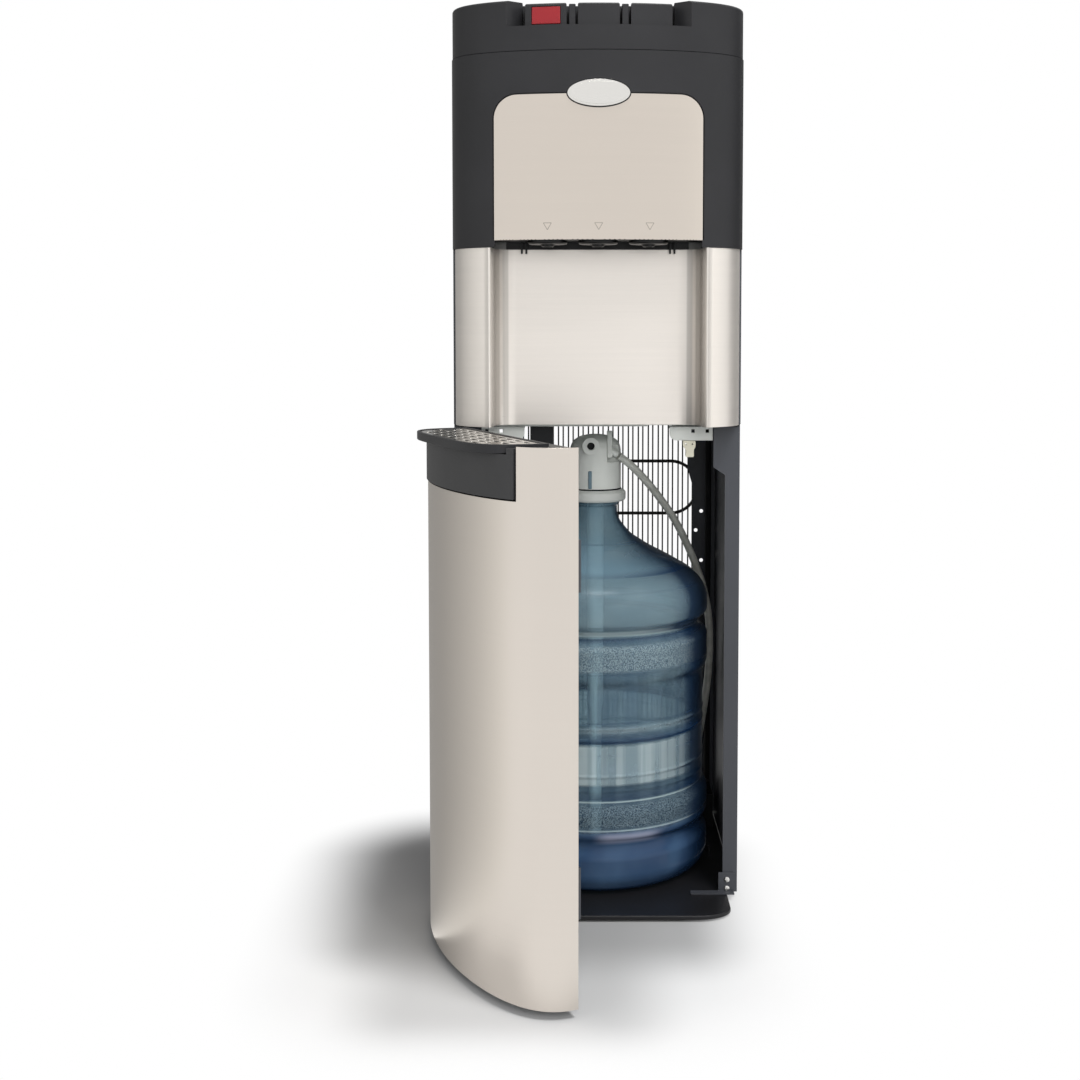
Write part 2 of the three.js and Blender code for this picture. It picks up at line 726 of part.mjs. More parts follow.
function condenser() {
  const front = condenserY - condenserTube / 2 - wireSize + wireSink;
  const foot = rowFoot - wireOverhang;
  const top = rowFoot + (rowCount - 1) * rowPitch + wireOverhang;
  const wires = [];
  for (let i = 0; i < wireCount; i++) {
    const x = (i - (wireCount - 1) / 2) * wirePitch;
    wires.push(prism([v2(x - wireSize / 2, front), v2(x + wireSize / 2, front), v2(x, front + wireSize)], foot, top));
  }
  return join(condenserTubing(), ...wires);
}

// Angle on the rear flange whose upright stands against a bend of the condenser; drawn for the right side.
function condenserBracket(z) {
  const apex = rowHalf + rowPitch / 2 + condenserTube / 2 + gap;
  const foot = cabinetDepth + gap;
  const plate = box(apex, cabinetWidth / 2 - 6, foot, foot + 1.2, z - 9, z + 9);
  const upright = box(apex, apex + 1.2, foot, condenserY + 3, z - 9, z + 9);
  const hole = barrel(1.8, foot - past, foot + 1.2 + past, apex + 9, z, 10);
  return cut(join(plate, upright), hole);
}

function addCondenserBrackets() {
  const bend = (row) => rowFoot + (row + 0.5) * rowPitch;
  add('condenser_bracket_lower_right', condenserBracket(bend(0)), darkSteel);
  add('condenser_bracket_upper_right', condenserBracket(bend(rowCount - 2)), darkSteel);
  add('condenser_bracket_lower_left', mirrored(condenserBracket(bend(1))), darkSteel);
  add('condenser_bracket_upper_left', mirrored(condenserBracket(bend(rowCount - 3))), darkSteel);
}

// ---- Alcove panel ----

// Half of the formed sheet's plan, from the middle of the back out to the column's outer end.
function alcoveHalf(bow) {
  const outer = bow.half;
  const cornerY = bowY(bow, columnInner);
  const wallX = columnInner - 3.3;
  const centreX = wallX - alcoveFillet;
  const fillet = arc(centreX, alcoveBack - alcoveFillet, alcoveFillet, alcoveFillet, 90, 0, 7);
  const corner = arc(columnInner + columnCorner - 0.4, cornerY + 2, columnCorner, columnCorner, 190, 262, 4);
  const column = bowCurve(bow).filter((p) => p.x > columnInner + columnCorner + 1);
  return [v2(0, alcoveBack), ...fillet, ...corner, ...column].filter((p) => p.x <= outer);
}

function alcovePanel() {
  const bow = { half: cabinetWidth / 2 - hemWidth - gap, setback: bowSetback };
  const right = alcoveHalf(bow);
  const left = right.slice(1).map((p) => v2(-p.x, p.y)).reverse();
  return prism(strip([...left, ...right], alcoveSheet), alcoveFoot, alcoveTop);
}

// ---- Upper fascia, its plate and the badge ----

const plateFootZ = fasciaFoot + plateBottom;
const plateTopZ = plateFootZ + plateHeight;

// Square at the foot, round at the top.
function plateOutline(grow) {
  const half = plateHalf + grow;
  const radius = plateCorner + grow;
  const top = plateTopZ + grow;
  return [v2(-half, plateFootZ - grow), v2(half, plateFootZ - grow),
    ...arc(half - radius, top - radius, radius, radius, 0, 90, 6),
    ...arc(-half + radius, top - radius, radius, radius, 90, 180, 6)];
}

function plateWindow(grow) {
  return prismAlongY(plateOutline(grow), -bowDepth - bowSetback - 20, -20);
}

function upperFascia() {
  const shell = cut(bowBlock(cabinetBow, 0, -gap, fasciaFoot, fasciaTop),
    bowBlock(cabinetBow, fasciaWall, past, fasciaFoot - past, fasciaTop + past));
  const pocket = common(bowWall(cabinetBow, -past, plateSheet + gap, fasciaFoot - past, plateTopZ + 5),
    plateWindow(plateShadow));
  const outlet = box(-plateHalf, plateHalf, -bowDepth - 20, -40, fasciaFoot - past, plateFootZ - 0.1);
  const ledge = common(bowBlock(cabinetBow, 0.5, -gap, plateFootZ + 6, plateFootZ + 8.5),
    bowWall(cabinetBow, 0.5, 9, fasciaFoot, plateTopZ));
  return cut(join(shell, ledge), pocket, outlet);
}

function fasciaPlate() {
  return common(bowWall(cabinetBow, 0, plateSheet, plateFootZ, plateTopZ), plateWindow(0));
}

function ovalBadge() {
  const centre = plateTopZ + 0.5;
  const oval = (grow) => arc(0, centre, badgeHalfWidth + grow, badgeHalfHeight + grow, 0, 360, 24).slice(0, -1);
  const low = centre - badgeHalfHeight - 5;
  const high = centre + badgeHalfHeight + 5;
  const rim = common(prismAlongY(oval(0), -110, -60), bowWall(cabinetBow, -badgeThickness + 0.8, -gap, low, high));
  const face = common(prismAlongY(oval(-2), -110, -60), bowWall(cabinetBow, -badgeThickness, -gap, low, high));
  return join(rim, face);
}

// ---- Nozzles and their carrier ----

const carrierFoot = plateFootZ + 0.6;
const carrierTop = carrierFoot + 3;
const carrierBack = alcoveBack + 4;
const nozzleY = -52;
const nozzleXs = [-nozzlePitch, 0, nozzlePitch];

function nozzleCarrier() {
  const plate = common(bowBlock(cabinetBow, fasciaWall + gap, carrierBack, carrierFoot, carrierTop),
    box(-plateHalf - 20, plateHalf + 20, -120, 0, fasciaFoot - 20, carrierTop + past));
  const skirt = box(-104, 104, carrierBack - 2, carrierBack, alcoveTop + gap, carrierTop - 1);
  const prongs = [-87, -82, 81, 86].map(
    (x) => box(x, x + 2.2, alcoveBack - 6, alcoveBack - 3, alcoveTop - 5, carrierTop - 1));
  const holes = nozzleXs.map((x) => cylinder(nozzleRadius + gap, carrierFoot - 9, carrierTop + past, x, nozzleY, nozzleSides));
  const rings = nozzleXs.map((x) => cylinder(outletRing, carrierFoot - outletDrop, carrierFoot + 0.5, x, nozzleY, 16));
  return cut(join(plate, skirt, ...rings, ...prongs), ...holes);
}

function nozzle(x) {
  const foot = fasciaFoot + 1;
  const top = carrierTop + 6;
  const lip = nozzleRadius + 3;
  const profile = [[nozzleBore, foot], [nozzleRadius - 2, foot], [nozzleRadius, foot + 4], [nozzleRadius, carrierTop + gap],
    [lip, carrierTop + gap], [lip, carrierTop + 2.4], [nozzleRadius - 2, top], [nozzleBore, top], [nozzleBore, foot]];
  return turned(profile, x, nozzleY, nozzleSides);
}

// ---- Top cover and controls ----

const lipTop = coverTop - recessDepth;
const pocketFloor = lipTop - lipDrop;
const coverInset = 0.8;

function coverRing(inset, z) {
  const back = cabinetDepth - inset;
  const half = cabinetBow.half - inset;
  const front = bowCurve(cabinetBow, inset).map((p) => new THREE.Vector3(p.x, p.y, z));
  return [...front, new THREE.Vector3(half, back, z), new THREE.Vector3(-half, back, z)];
}

function recessOutline(grow, frontY) {
  const right = [v2(recessHalf + 12 + grow, frontY), v2(recessHalf + grow, bowY(cabinetBow, recessHalf)),
    v2(pocketHalf + grow, cheekFront), v2(pocketHalf + grow, pocketBack + grow)];
  const left = right.map((p) => v2(-p.x, p.y)).reverse();
  return [...left, ...right].reverse();
}

function topCover() {
  const outside = loft([coverRing(coverInset, coverFoot), coverRing(coverInset, coverTop - 3),
    coverRing(coverInset + 0.9, coverTop - 0.9), coverRing(coverInset + 3, coverTop)]);
  const inset = coverInset + coverWall;
  const inside = loft([coverRing(inset, coverFoot - past), coverRing(inset, coverTop - coverWall)]);
  const shell = cut(outside, inside);
  // the lining of the recess, kept inside the cover
  const lining = common(prism(recessOutline(coverWall, -120), pocketFloor - coverWall, coverTop - 1), outside);
  const insideFront = bowBlock(cabinetBow, inset, 0, pocketFloor, coverTop + past);
  const pocket = common(prism(recessOutline(0, -120), pocketFloor, coverTop + past), insideFront);
  const window = prism(recessOutline(0, -120), lipTop, coverTop + past);
  const opened = cut(join(shell, lining), pocket, window);
  const spacers = [-1, 1].map((side) => {
    const x = side * paddlePitch / 2;
    const front = bowY(cabinetBow, x) + 6;
    return box(x - spacerWidth / 2, x + spacerWidth / 2, front, pocketBack + 1, pocketFloor - 1, coverTop - 5);
  });
  return join(opened, ...spacers);
}

const paddleFoot = pocketFloor + paddleTravel + 0.5;
const paddleTop = paddleFoot + paddleHeight;
const paddleInset = coverInset + coverWall + 0.5;
const paddleBack = pocketBack - 0.4;

function paddleRing(x, shrink, z) {
  const left = x - paddleWidth / 2 + shrink;
  const right = x + paddleWidth / 2 - shrink;
  const front = Array.from({ length: 7 }, (_, i) => {
    const px = left + ((right - left) * i) / 6;
    return new THREE.Vector3(px, bowY(cabinetBow, px, paddleInset) + shrink, z);
  });
  return [...front, new THREE.Vector3(right, paddleBack, z), new THREE.Vector3(left, paddleBack, z)];
}

function paddle(x, hollowFront) {
  const body = loft([paddleRing(x, 0, paddleFoot), paddleRing(x, 0, paddleTop - 2.5), paddleRing(x, 2, paddleTop)]);
  const half = paddleWidth / 2 - 2.5;
  const hollow = box(x - half, x + half, hollowFront, paddleBack - 2.5, paddleFoot - past, paddleTop - 5);
  return cut(body, hollow);
}

const hotX = -paddlePitch;
const lockX = hotX + 0.2;
const lockFoot = lipTop + paddleTravel + 0.2; // clears the lip when the paddle is down
const lockBackY = -60;

function lockBody(grow, travel) {
  const half = lockWidth / 2 + grow;
  const front = bowBlock(cabinetBow, paddleInset - 0.2, lockBackY + travel, lockFoot - grow, lockFoot + lockHeight + grow);
  return common(front, box(lockX - half, lockX + half, -120, 0, lockFoot - 5, lockFoot + lockHeight + 5));
}

function hotPaddle() {
  return cut(paddle(hotX, lockBackY + lockTravel + 4), lockBody(gap, lockTravel + 0.5));
}

function controlBoard() {
  const top = pocketFloor - coverWall - gap;
  const board = box(-70, 70, -72, -36, top - 1.6, top);
  const chip = box(-12, 10, -66, -50, top - 5, top - 1.2);
  return join(board, chip);
}

// ---- Door, drawn closed ----

const capFootZ = doorTop - capHeight;
const handleFoot = doorTop - handleHeight;
const rimFoot = rimTop - rimHeight;
const tubFoot = rimFoot - tubDepth;
const handleTop = rimFoot - 0.5;
const handleInset = handleWall - handleProud; // the plate's inner face, behind the bow

function handleSpace(grow, top) {
  return common(bowWall(doorBow, -handleProud - past, handleInset + grow, handleFoot - grow, top),
    box(-handleHalf - grow, handleHalf + grow, -120, 0, handleFoot - grow, top));
}

function doorSkin() {
  return cut(bowWall(doorBow, 0, doorSheet, doorFoot, doorTop), handleSpace(gap, doorTop + past));
}

function doorLiner() {
  const inset = doorSheet + gap;
  const top = capFootZ - gap;
  const slab = bowWall(doorBow, inset, linerDepth, doorFoot, top);
  const pockets = [];
  const columns = [[-140, -72], [-66, -3], [3, 66], [72, 140]];
  const rows = 4;
  const pitch = (top - doorFoot - 12) / rows;
  for (const [left, right] of columns) {
    for (let row = 0; row < rows; row++) {
      const foot = doorFoot + 9 + row * pitch;
      const window = box(left, right, -120, -12, foot, foot + pitch - 6);
      pockets.push(common(bowWall(doorBow, -past, linerDepth - linerWall, foot - 1, foot + pitch), window));
    }
  }
  const bush = cylinder(pinRadius + 0.4, doorFoot - past, doorFoot + 14, hingeX, hingeY, pinSides);
  return cut(slab, handleSpace(gap, doorTop), bush, ...pockets);
}

function doorTopCap() {
  const inset = doorSheet + gap;
  const back = -doorSetback;
  const seatZ = rimFoot - gap;
  const block = bowBlock(doorBow, inset, back, capFootZ, doorTop);
  const under = bowBlock(doorBow, inset + 3 + capWall, back - capWall, capFootZ - past, tubFoot - gap - capWall);
  const channel = (half, foot) => box(-half, half, -120, trayBack + trayClearance, foot, doorTop + past);
  const hole = cylinder(pinRadius + 0.4, doorTop - 15, doorTop + past, hingeX, hingeY, pinSides);
  const tubSpace = common(bowBlock(doorBow, handleInset + gap, trayBack + trayClearance, tubFoot - gap, doorTop + past),
    channel(tubHalf + trayClearance, tubFoot - gap));
  return cut(block, cut(under, box(hingeX - 20, hingeX + 12, -60, 0, 0, doorTop)), channel(trayHalf + trayClearance, seatZ),
    tubSpace, handleSpace(gap, doorTop + past), hole);
}

function handlePlate() {
  const plate = common(bowWall(doorBow, -handleProud, handleInset, handleFoot, doorTop),
    box(-handleHalf, handleHalf, -120, 0, handleFoot, doorTop));
  const notch = trayHalf + trayClearance;
  return cut(plate, box(-notch, notch, -120, 0, handleTop, doorTop + past));
}

function doorCatch(foot) {
  const back = -doorSetback + catchThickness + gap;
  const body = box(152, 160, -doorSetback + gap, back, foot, foot + 51);
  return cut(body, box(154.4, 157.6, back - 1, back + 1, foot + 4, foot + 47));
}

// ---- Drip tray and grille, drawn in the closed door ----

const grilleHalf = trayHalf - rimLedge;
const grilleBack = trayBack - rimLedge;
const grilleReach = trayReach - 2 * rimLedge;
const tubInset = handleInset + gap + trayClearance; // the tub hangs behind the handle plate

function dripTray() {
  const rim = prism(dOutline(trayHalf, trayBack, trayReach), rimFoot, rimTop);
  const tubBlock = bowBlock(doorBow, tubInset, trayBack, tubFoot, rimFoot + 1);
  const tub = common(tubBlock, box(-tubHalf, tubHalf, -120, 0, tubFoot - 1, rimFoot + 2));
  const recess = prism(dOutline(grilleHalf + gap, grilleBack + gap, grilleReach + 2 * gap), rimTop - grilleLedge - gap,
    rimTop + past);
  const well = common(bowBlock(doorBow, tubInset + tubWall, grilleBack - grilleSeat, tubFoot + tubWall, rimTop + past),
    prism(dOutline(grilleHalf - grilleSeat, grilleBack - grilleSeat, grilleReach - 2 * grilleSeat), tubFoot, rimTop + past));
  return cut(join(rim, tub), recess, well);
}

function dripGrille() {
  const foot = rimTop - grilleLedge;
  const slots = [];
  for (let row = 0; row < slotRows; row++) {
    const drop = slotFirst + row * slotRowPitch;
    const y = grilleBack - drop;
    const shift = row % 2 === 0 ? 0 : slotPitch / 2;
    const end = grilleHalf * (1 - ((drop + slotWidth / 2) / grilleReach) ** traySquareness) ** (1 / traySquareness);
    for (let i = -6; i <= 6; i++) {
      const x = i * slotPitch + shift;
      if (Math.abs(x) + slotLength / 2 + slotMargin < end) {
        slots.push(box(x - slotLength / 2, x + slotLength / 2, y - slotWidth / 2, y + slotWidth / 2,
          foot - past, foot + grilleSheet + past));
      }
    }
  }
  return cut(prism(dOutline(grilleHalf, grilleBack, grilleReach), foot, foot + grilleSheet), ...slots);
}

// ---- Tanks, compressor and rear fittings ----

const compressorX = 66;
const compressorY = 190;
const hotTankX = -92;
const hotTankY = 195;
const coldTankY = 165;

// The welded shell and the plate with rubber feet under it.
function compressor() {
  const foot = shelfTop + gap;
  const plate = box(compressorX - 80, compressorX + 80, compressorY - 55, compressorY + 55, foot + 8, foot + 11);
  const legs = [-68, 68].flatMap((dx) => [-43, 43].map(
    (dy) => cylinder(8, foot, foot + 9, compressorX + dx, compressorY + dy, 8)));
  const shell = turned([[0, foot + 10], [52, foot + 10], [62, foot + 20], [64, foot + 80], [60, foot + 86],
    [58, foot + 130], [46, foot + 155], [22, foot + 166], [0, foot + 168]], compressorX, compressorY, 18);
  return join(plate, shell, ...legs);
}

function hotTank() {
  const foot = shelfTop + gap;
  const profile = [[0, foot], [48, foot], [54, foot + 6], [54, foot + 150], [48, foot + 158], [12, foot + 162],
    [0, foot + 162]];
  return turned(profile, hotTankX, hotTankY, 20);
}

function coldTankInsulation() {
  const foot = tankShelfTop + gap;
  const profile = [[0, foot], [92, foot], [96, foot + 6], [96, foot + 165], [70, foot + 165], [70, foot + 18],
    [0, foot + 18]];
  return turned(profile, 0, coldTankY, 24);
}

function coldTank() {
  const foot = tankShelfTop + gap + 18 + gap;
  const profile = [[0, foot], [60, foot], [69, foot + 12], [69, foot + 140], [62, foot + 150], [20, foot + 156],
    [0, foot + 156]];
  return turned(profile, 0, coldTankY, 20);
}

// A fitting whose flange lies on the outside of the rear panel.
function rearFitting(x, z, flange, barrelRadius, bore, length) {
  const face = rearSheetBack + gap;
  const body = join(barrel(flange, face, face + 2.5, x, z, 20), barrel(barrelRadius, face, face + length, x, z, 16));
  return bore > 0 ? cut(body, barrel(bore, face - 1, face + length + 1, x, z, 12)) : body;
}

// ---- Everything in its place ----

add('base_pan', basePan(), blackPlastic);
feet();
add('side_panel_right', sidePanel(), paintedSteel);
add('side_panel_left', mirrored(sidePanel()), paintedSteel);
add('rear_panel', rearPanel(), darkSteel);
add('mid_shelf', midShelf(), whitePlastic);
add('tank_shelf', tankShelf(), zinc);
add('ceiling_bracket_right', ceilingBracket(), whitePlastic);
add('ceiling_bracket_left', mirrored(ceilingBracket()), whitePlastic);
add('probe_hanger', probeHanger(), creamPlastic);
add('interlock_housing', interlockHousing(), blackPlastic);
add('foot_bracket_right', footBracket(), paintedSteel);
add('hinge_bracket_lower', hingeBracketLower(), paintedSteel);
add('hinge_bracket_upper', hingeBracketUpper(), paintedSteel);
add('hinge_pin_lower', cylinder(pinRadius, plateFoot + 0.1, doorFoot + 13, hingeX, hingeY, pinSides), zinc);
add('hinge_pin_upper', cylinder(pinRadius, doorTop - 14, upperPlateTop - 0.1, hingeX, hingeY, pinSides), zinc);

add('water_bottle', waterBottle(), blueBottle);
add('probe_collar', probeCollar(), whitePlastic);
add('probe_cap', probeCap(), whitePlastic);
add('dip_tube', dipTube(), paleTube);
add('hose_fitting', hoseFitting(), whitePlastic);
add('supply_hose', tube(hoseRoute, hoseDiameter, 8, 26), greyTube);
add('water_pump', waterPump(), blackPlastic);
add('delivery_tube', deliveryTube(), rubber);

add('condenser', condenser(), darkSteel);
addCondenserBrackets();

add('alcove_panel', alcovePanel(), brushedSteel);
add('upper_fascia', upperFascia(), blackPlastic);
add('fascia_plate', fasciaPlate(), brushedSteel);
add('oval_badge', ovalBadge(), paleBadge);
add('nozzle_carrier', nozzleCarrier(), blackPlastic);
['nozzle_hot', 'nozzle_cold', 'nozzle_room'].forEach((name, i) => add(name, nozzle(nozzleXs[i]), blackPlastic));

add('top_cover', topCover(), blackPlastic);
add('hot_paddle', hotPaddle(), blackPlastic);
add('cold_paddle', paddle(0, bowY(cabinetBow, 0, paddleInset) + 3), blackPlastic);
add('room_paddle', paddle(paddlePitch, bowY(cabinetBow, paddlePitch + paddleWidth / 2, paddleInset) + 3), blackPlastic);
add('child_lock', lockBody(0, 0), redPlastic);
add('control_board', controlBoard(), boardGreen);

add('compressor', compressor(), blackPlastic);
add('hot_tank', hotTank(), zinc);
add('cold_tank_insulation', coldTankInsulation(), foam);
add('cold_tank', coldTank(), brushedSteel);
add('cable_gland', rearFitting(104, shelfTop + 130, 11, 7.5, 3.8, 12), rubber);
add('drain_cap', rearFitting(-100, shelfTop + 120, 13, 10, 0, 11), blackPlastic);

add('door_skin', doorSkin(), brushedSteel, doorClosed);
add('door_liner', doorLiner(), blackPlastic, doorClosed);
add('door_top_cap', doorTopCap(), blackPlastic, doorClosed);
add('handle_plate', handlePlate(), blackPlastic, doorClosed);
add('door_catch_upper', doorCatch(417.5), darkSteel, doorClosed);
add('door_catch_lower', doorCatch(97.5), darkSteel, doorClosed);
add('drip_tray', dripTray(), blackPlastic, doorClosed);
add('drip_grille', dripGrille(), brushedSteel, doorClosed);

export default cooler;
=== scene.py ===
# %% [markdown]
# # A bottom load water cooler, dressed in Blender
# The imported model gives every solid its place. This lesson makes the visible pieces over it: steel skins
# that follow the bowed front, a moulded cap and tray, a clear blue bottle, its hose, and the wire condenser
# behind. Sizes are written in millimetres and turned into metres when a mesh is made.

# %% The frame
import json
import math

import bmesh
import bpy
from mathutils import Matrix, Vector

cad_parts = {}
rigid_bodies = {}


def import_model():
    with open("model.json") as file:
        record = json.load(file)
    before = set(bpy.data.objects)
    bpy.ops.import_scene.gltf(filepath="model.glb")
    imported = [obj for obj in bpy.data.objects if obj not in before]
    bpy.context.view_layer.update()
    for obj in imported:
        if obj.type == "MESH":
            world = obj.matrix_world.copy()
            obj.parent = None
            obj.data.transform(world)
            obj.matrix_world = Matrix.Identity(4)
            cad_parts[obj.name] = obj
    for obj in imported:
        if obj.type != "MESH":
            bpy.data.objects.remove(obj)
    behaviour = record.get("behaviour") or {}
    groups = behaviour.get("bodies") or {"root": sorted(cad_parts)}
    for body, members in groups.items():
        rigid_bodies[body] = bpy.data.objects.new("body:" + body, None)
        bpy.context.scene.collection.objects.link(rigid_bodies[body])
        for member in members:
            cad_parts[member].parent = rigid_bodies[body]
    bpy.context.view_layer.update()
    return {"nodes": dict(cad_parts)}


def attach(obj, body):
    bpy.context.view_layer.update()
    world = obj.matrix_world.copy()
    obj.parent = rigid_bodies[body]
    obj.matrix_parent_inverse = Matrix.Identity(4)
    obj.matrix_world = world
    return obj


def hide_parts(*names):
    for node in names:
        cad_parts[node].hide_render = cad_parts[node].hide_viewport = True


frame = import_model()
NODES = frame["nodes"]
MM = 0.001

# %% [markdown]
# ## Camera
# The camera was found by fitting the seams of the cabinet and the door to the photograph: a lens of about
# 50 mm, standing 1.7 m in front of the cooler at two thirds of its height and looking slightly down.

# %% Camera
PHOTO_WIDTH, SENSOR = 1080, 36
FOCAL_PIXELS, CENTRE_X, CENTRE_Y = 1488.06, 571.61, 414.02  # the lens and its axis, in pixels
DOWNWARD_DEGREES = 3.46


def linked(name, data):
    """A new object in the scene that shows the given mesh, curve, lamp or camera."""
    obj = bpy.data.objects.new(name, data)
    bpy.context.scene.collection.objects.link(obj)
    return obj


eye = bpy.data.cameras.new("eye")
camera = linked("eye", eye)
camera.location = (-0.02951, -1.71483, 0.6744)
camera.rotation_euler = (math.radians(90 - DOWNWARD_DEGREES), 0, 0)
eye.sensor_width = SENSOR
eye.lens = FOCAL_PIXELS / PHOTO_WIDTH * SENSOR
eye.shift_x = (PHOTO_WIDTH / 2 - CENTRE_X) / PHOTO_WIDTH
eye.shift_y = (CENTRE_Y - PHOTO_WIDTH / 2) / PHOTO_WIDTH
eye.clip_start = 0.05
bpy.context.scene.camera = camera
print("camera lens", round(eye.lens, 2), "mm")

# %% [markdown]
# ## Sizes that several pieces share
# The front of the cabinet and of the door swells forward on one curve. `bow_y` gives how far forward that
# curve is at a given X, and an inset moves it inwards for the pieces that lie behind the skin.

# %% The bow
CABINET = dict(half=165.0, setback=5.0)
DOOR = dict(half=163.0, setback=6.0)
BOW_DEPTH, BOW_ACROSS, BOW_ALONG = 81.0, 1.91, 2.57  # how far it stands out, and how square it is each way


def bow_y(bow, x, inset=0.0):
    share = min(1.0, abs(x) / (bow["half"] - inset))
    return -bow["setback"] - (BOW_DEPTH - inset) * (1 - share ** BOW_ACROSS) ** (1 / BOW_ALONG)


def bow_columns(bow, inset=0.0, steps=120, extra=()):
    """X places along the bow, closer together where it turns."""
    half = bow["half"] - inset
    xs = set()
    for i in range(steps + 1):
        side = 2 * i / steps - 1
        xs.add(round(math.copysign(1 - (1 - abs(side)) ** 2.2, side) * half, 3))
    return sorted(xs | set(extra))


# levels of the assembly, from the floor
BASE_TOP, BOTTLE_FOOT, DOOR_FOOT, DOOR_TOP = 7.2, 7.5, 9.6, 555.8
RIM_FOOT, RIM_TOP, ALCOVE_FOOT, ALCOVE_TOP = 550.0, 558.8, 559.5, 758.7
FASCIA_FOOT, FASCIA_TOP, COVER_FOOT, COVER_TOP = 759.0, 970.6, 971.0, 1026.0
BOTTLE_Y = 122  # the bottle's axis
NOZZLE_XS, NOZZLE_Y = (-56.0, 0.0, 56.0), -52.0
RECESS_HALF = 102.0
HINGE = Vector((-157.0, -16.0, 0.0))
OPEN_DEGREES = -67
DOOR_OPEN = (Matrix.Translation(HINGE) @ Matrix.Rotation(math.radians(OPEN_DEGREES), 4, "Z")
             @ Matrix.Translation(-HINGE))


def in_metres(place):
    """A movement given in millimetres, for a mesh that is already in metres."""
    return Matrix.Scale(MM, 4) @ place @ Matrix.Scale(1 / MM, 4)


print("bow stands", round(-bow_y(CABINET, 0), 1), "mm forward at its middle")

# %% [markdown]
# ## Small tools for meshes
# Every piece is made of vertices and faces in millimetres. `build` turns them into an object at the origin,
# with its place in its mesh, and `finish` rounds the sharp edges, smooths the shading and hangs the piece
# on its body.

# %% Mesh tools
def build(name, verts, faces, place=None):
    mesh = bpy.data.meshes.new(name)
    mesh.from_pydata([Vector(v) for v in verts], [], faces)
    mesh.update()
    if place:
        mesh.transform(place)
    mesh.transform(Matrix.Scale(MM, 4))
    return linked(name, mesh)


def from_bmesh(name, bm):
    """An object that takes over a bmesh as it is."""
    mesh = bpy.data.meshes.new(name)
    bm.to_mesh(mesh)
    bm.free()
    return linked(name, mesh)


def outward(obj):
    """Turns all faces of a closed mesh outwards."""
    bm = bmesh.new()
    bm.from_mesh(obj.data)
    bmesh.ops.remove_doubles(bm, verts=bm.verts, dist=1e-6)
    bmesh.ops.recalc_face_normals(bm, faces=bm.faces)
    if bm.calc_volume(signed=True) < 0:
        bmesh.ops.reverse_faces(bm, faces=bm.faces)
    bm.to_mesh(obj.data)
    bm.free()
    return obj


def flatten(obj):
    """Applies all modifiers and keeps a plain mesh."""
    graph = bpy.context.evaluated_depsgraph_get()
    made = bpy.data.meshes.new_from_object(obj.evaluated_get(graph))
    obj.modifiers.clear()
    obj.data = made
    return obj


def round_edges(obj, width, segments, angle=40):
    soft = obj.modifiers.new("rounded edges", "BEVEL")
    soft.width = width * MM
    soft.segments = segments
    soft.limit_method = "ANGLE"
    soft.angle_limit = math.radians(angle)
    soft.use_clamp_overlap = True
    return flatten(obj)


def finish(obj, body, material, node=None, edge=0.0, segments=2, angle=35):
    """Rounds, smooths, paints and hangs a piece; the CAD node it stands for is hidden."""
    if edge:
        round_edges(obj, edge, segments, angle)
    obj.data.shade_smooth()
    obj.data.set_sharp_from_angle(angle=math.radians(angle))
    even = obj.modifiers.new("even shading", "WEIGHTED_NORMAL")
    even.keep_sharp = True
    even.weight = 100
    flatten(obj)
    obj.data.materials.clear()
    obj.data.materials.append(material)
    if node:
        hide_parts(node)
    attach(obj, body)


def joined(name, *objs):
    """Several meshes as one object, without a boolean."""
    bm = bmesh.new()
    for obj in objs:
        bm.from_mesh(obj.data)
        bpy.data.objects.remove(obj)
    return from_bmesh(name, bm)


def carve(obj, *tools, operation="DIFFERENCE", tidy=0.05):
    """Cuts the tools out of a body, or joins them to it, and clears the small change that leaves."""
    for tool in tools:
        cut = obj.modifiers.new("cut", "BOOLEAN")
        cut.operation = operation
        cut.solver = "EXACT"
        cut.object = tool
        flatten(obj)
    for tool in tools:
        bpy.data.objects.remove(tool)
    bm = bmesh.new()
    bm.from_mesh(obj.data)
    bmesh.ops.remove_doubles(bm, verts=bm.verts, dist=tidy * MM)
    bmesh.ops.dissolve_limit(bm, angle_limit=math.radians(0.3), verts=bm.verts, edges=bm.edges)
    bm.to_mesh(obj.data)
    bm.free()
    return obj


# %% [markdown]
# ## Shapes
# Three ways cover most pieces. A `prism` lifts a flat outline, a `lathe` turns a profile about an upright
# axis, and `draped` bends a flat sheet over the bow: it fills an outline drawn in X and Z, slices it into
# narrow columns, moves each column out to the bow and gives the sheet its thickness.

# %% Shape tools
def arc(x, y, rx, ry, start, end, steps):
    """Points on part of an oval, between two angles in degrees."""
    return [(x + rx * math.cos(math.radians(start + (end - start) * i / steps)),
             y + ry * math.sin(math.radians(start + (end - start) * i / steps))) for i in range(steps + 1)]


def oval(x, y, rx, ry, steps):
    """A closed outline, whose last point does not repeat the first."""
    return arc(x, y, rx, ry, 0, 360, steps)[:-1]


def block(x0, x1, y0, y1, z0, z1, name="block", place=None):
    return prism([(x0, y0), (x1, y0), (x1, y1), (x0, y1)], z0, z1, name, place)


def prism(outline, z0, z1, name, place=None):
    n = len(outline)
    verts = [(x, y, z0) for x, y in outline] + [(x, y, z1) for x, y in outline]
    faces = [tuple(range(n))[::-1], tuple(range(n, 2 * n))]
    faces += [(i, (i + 1) % n, n + (i + 1) % n, n + i) for i in range(n)]
    return outward(build(name, verts, faces, place))


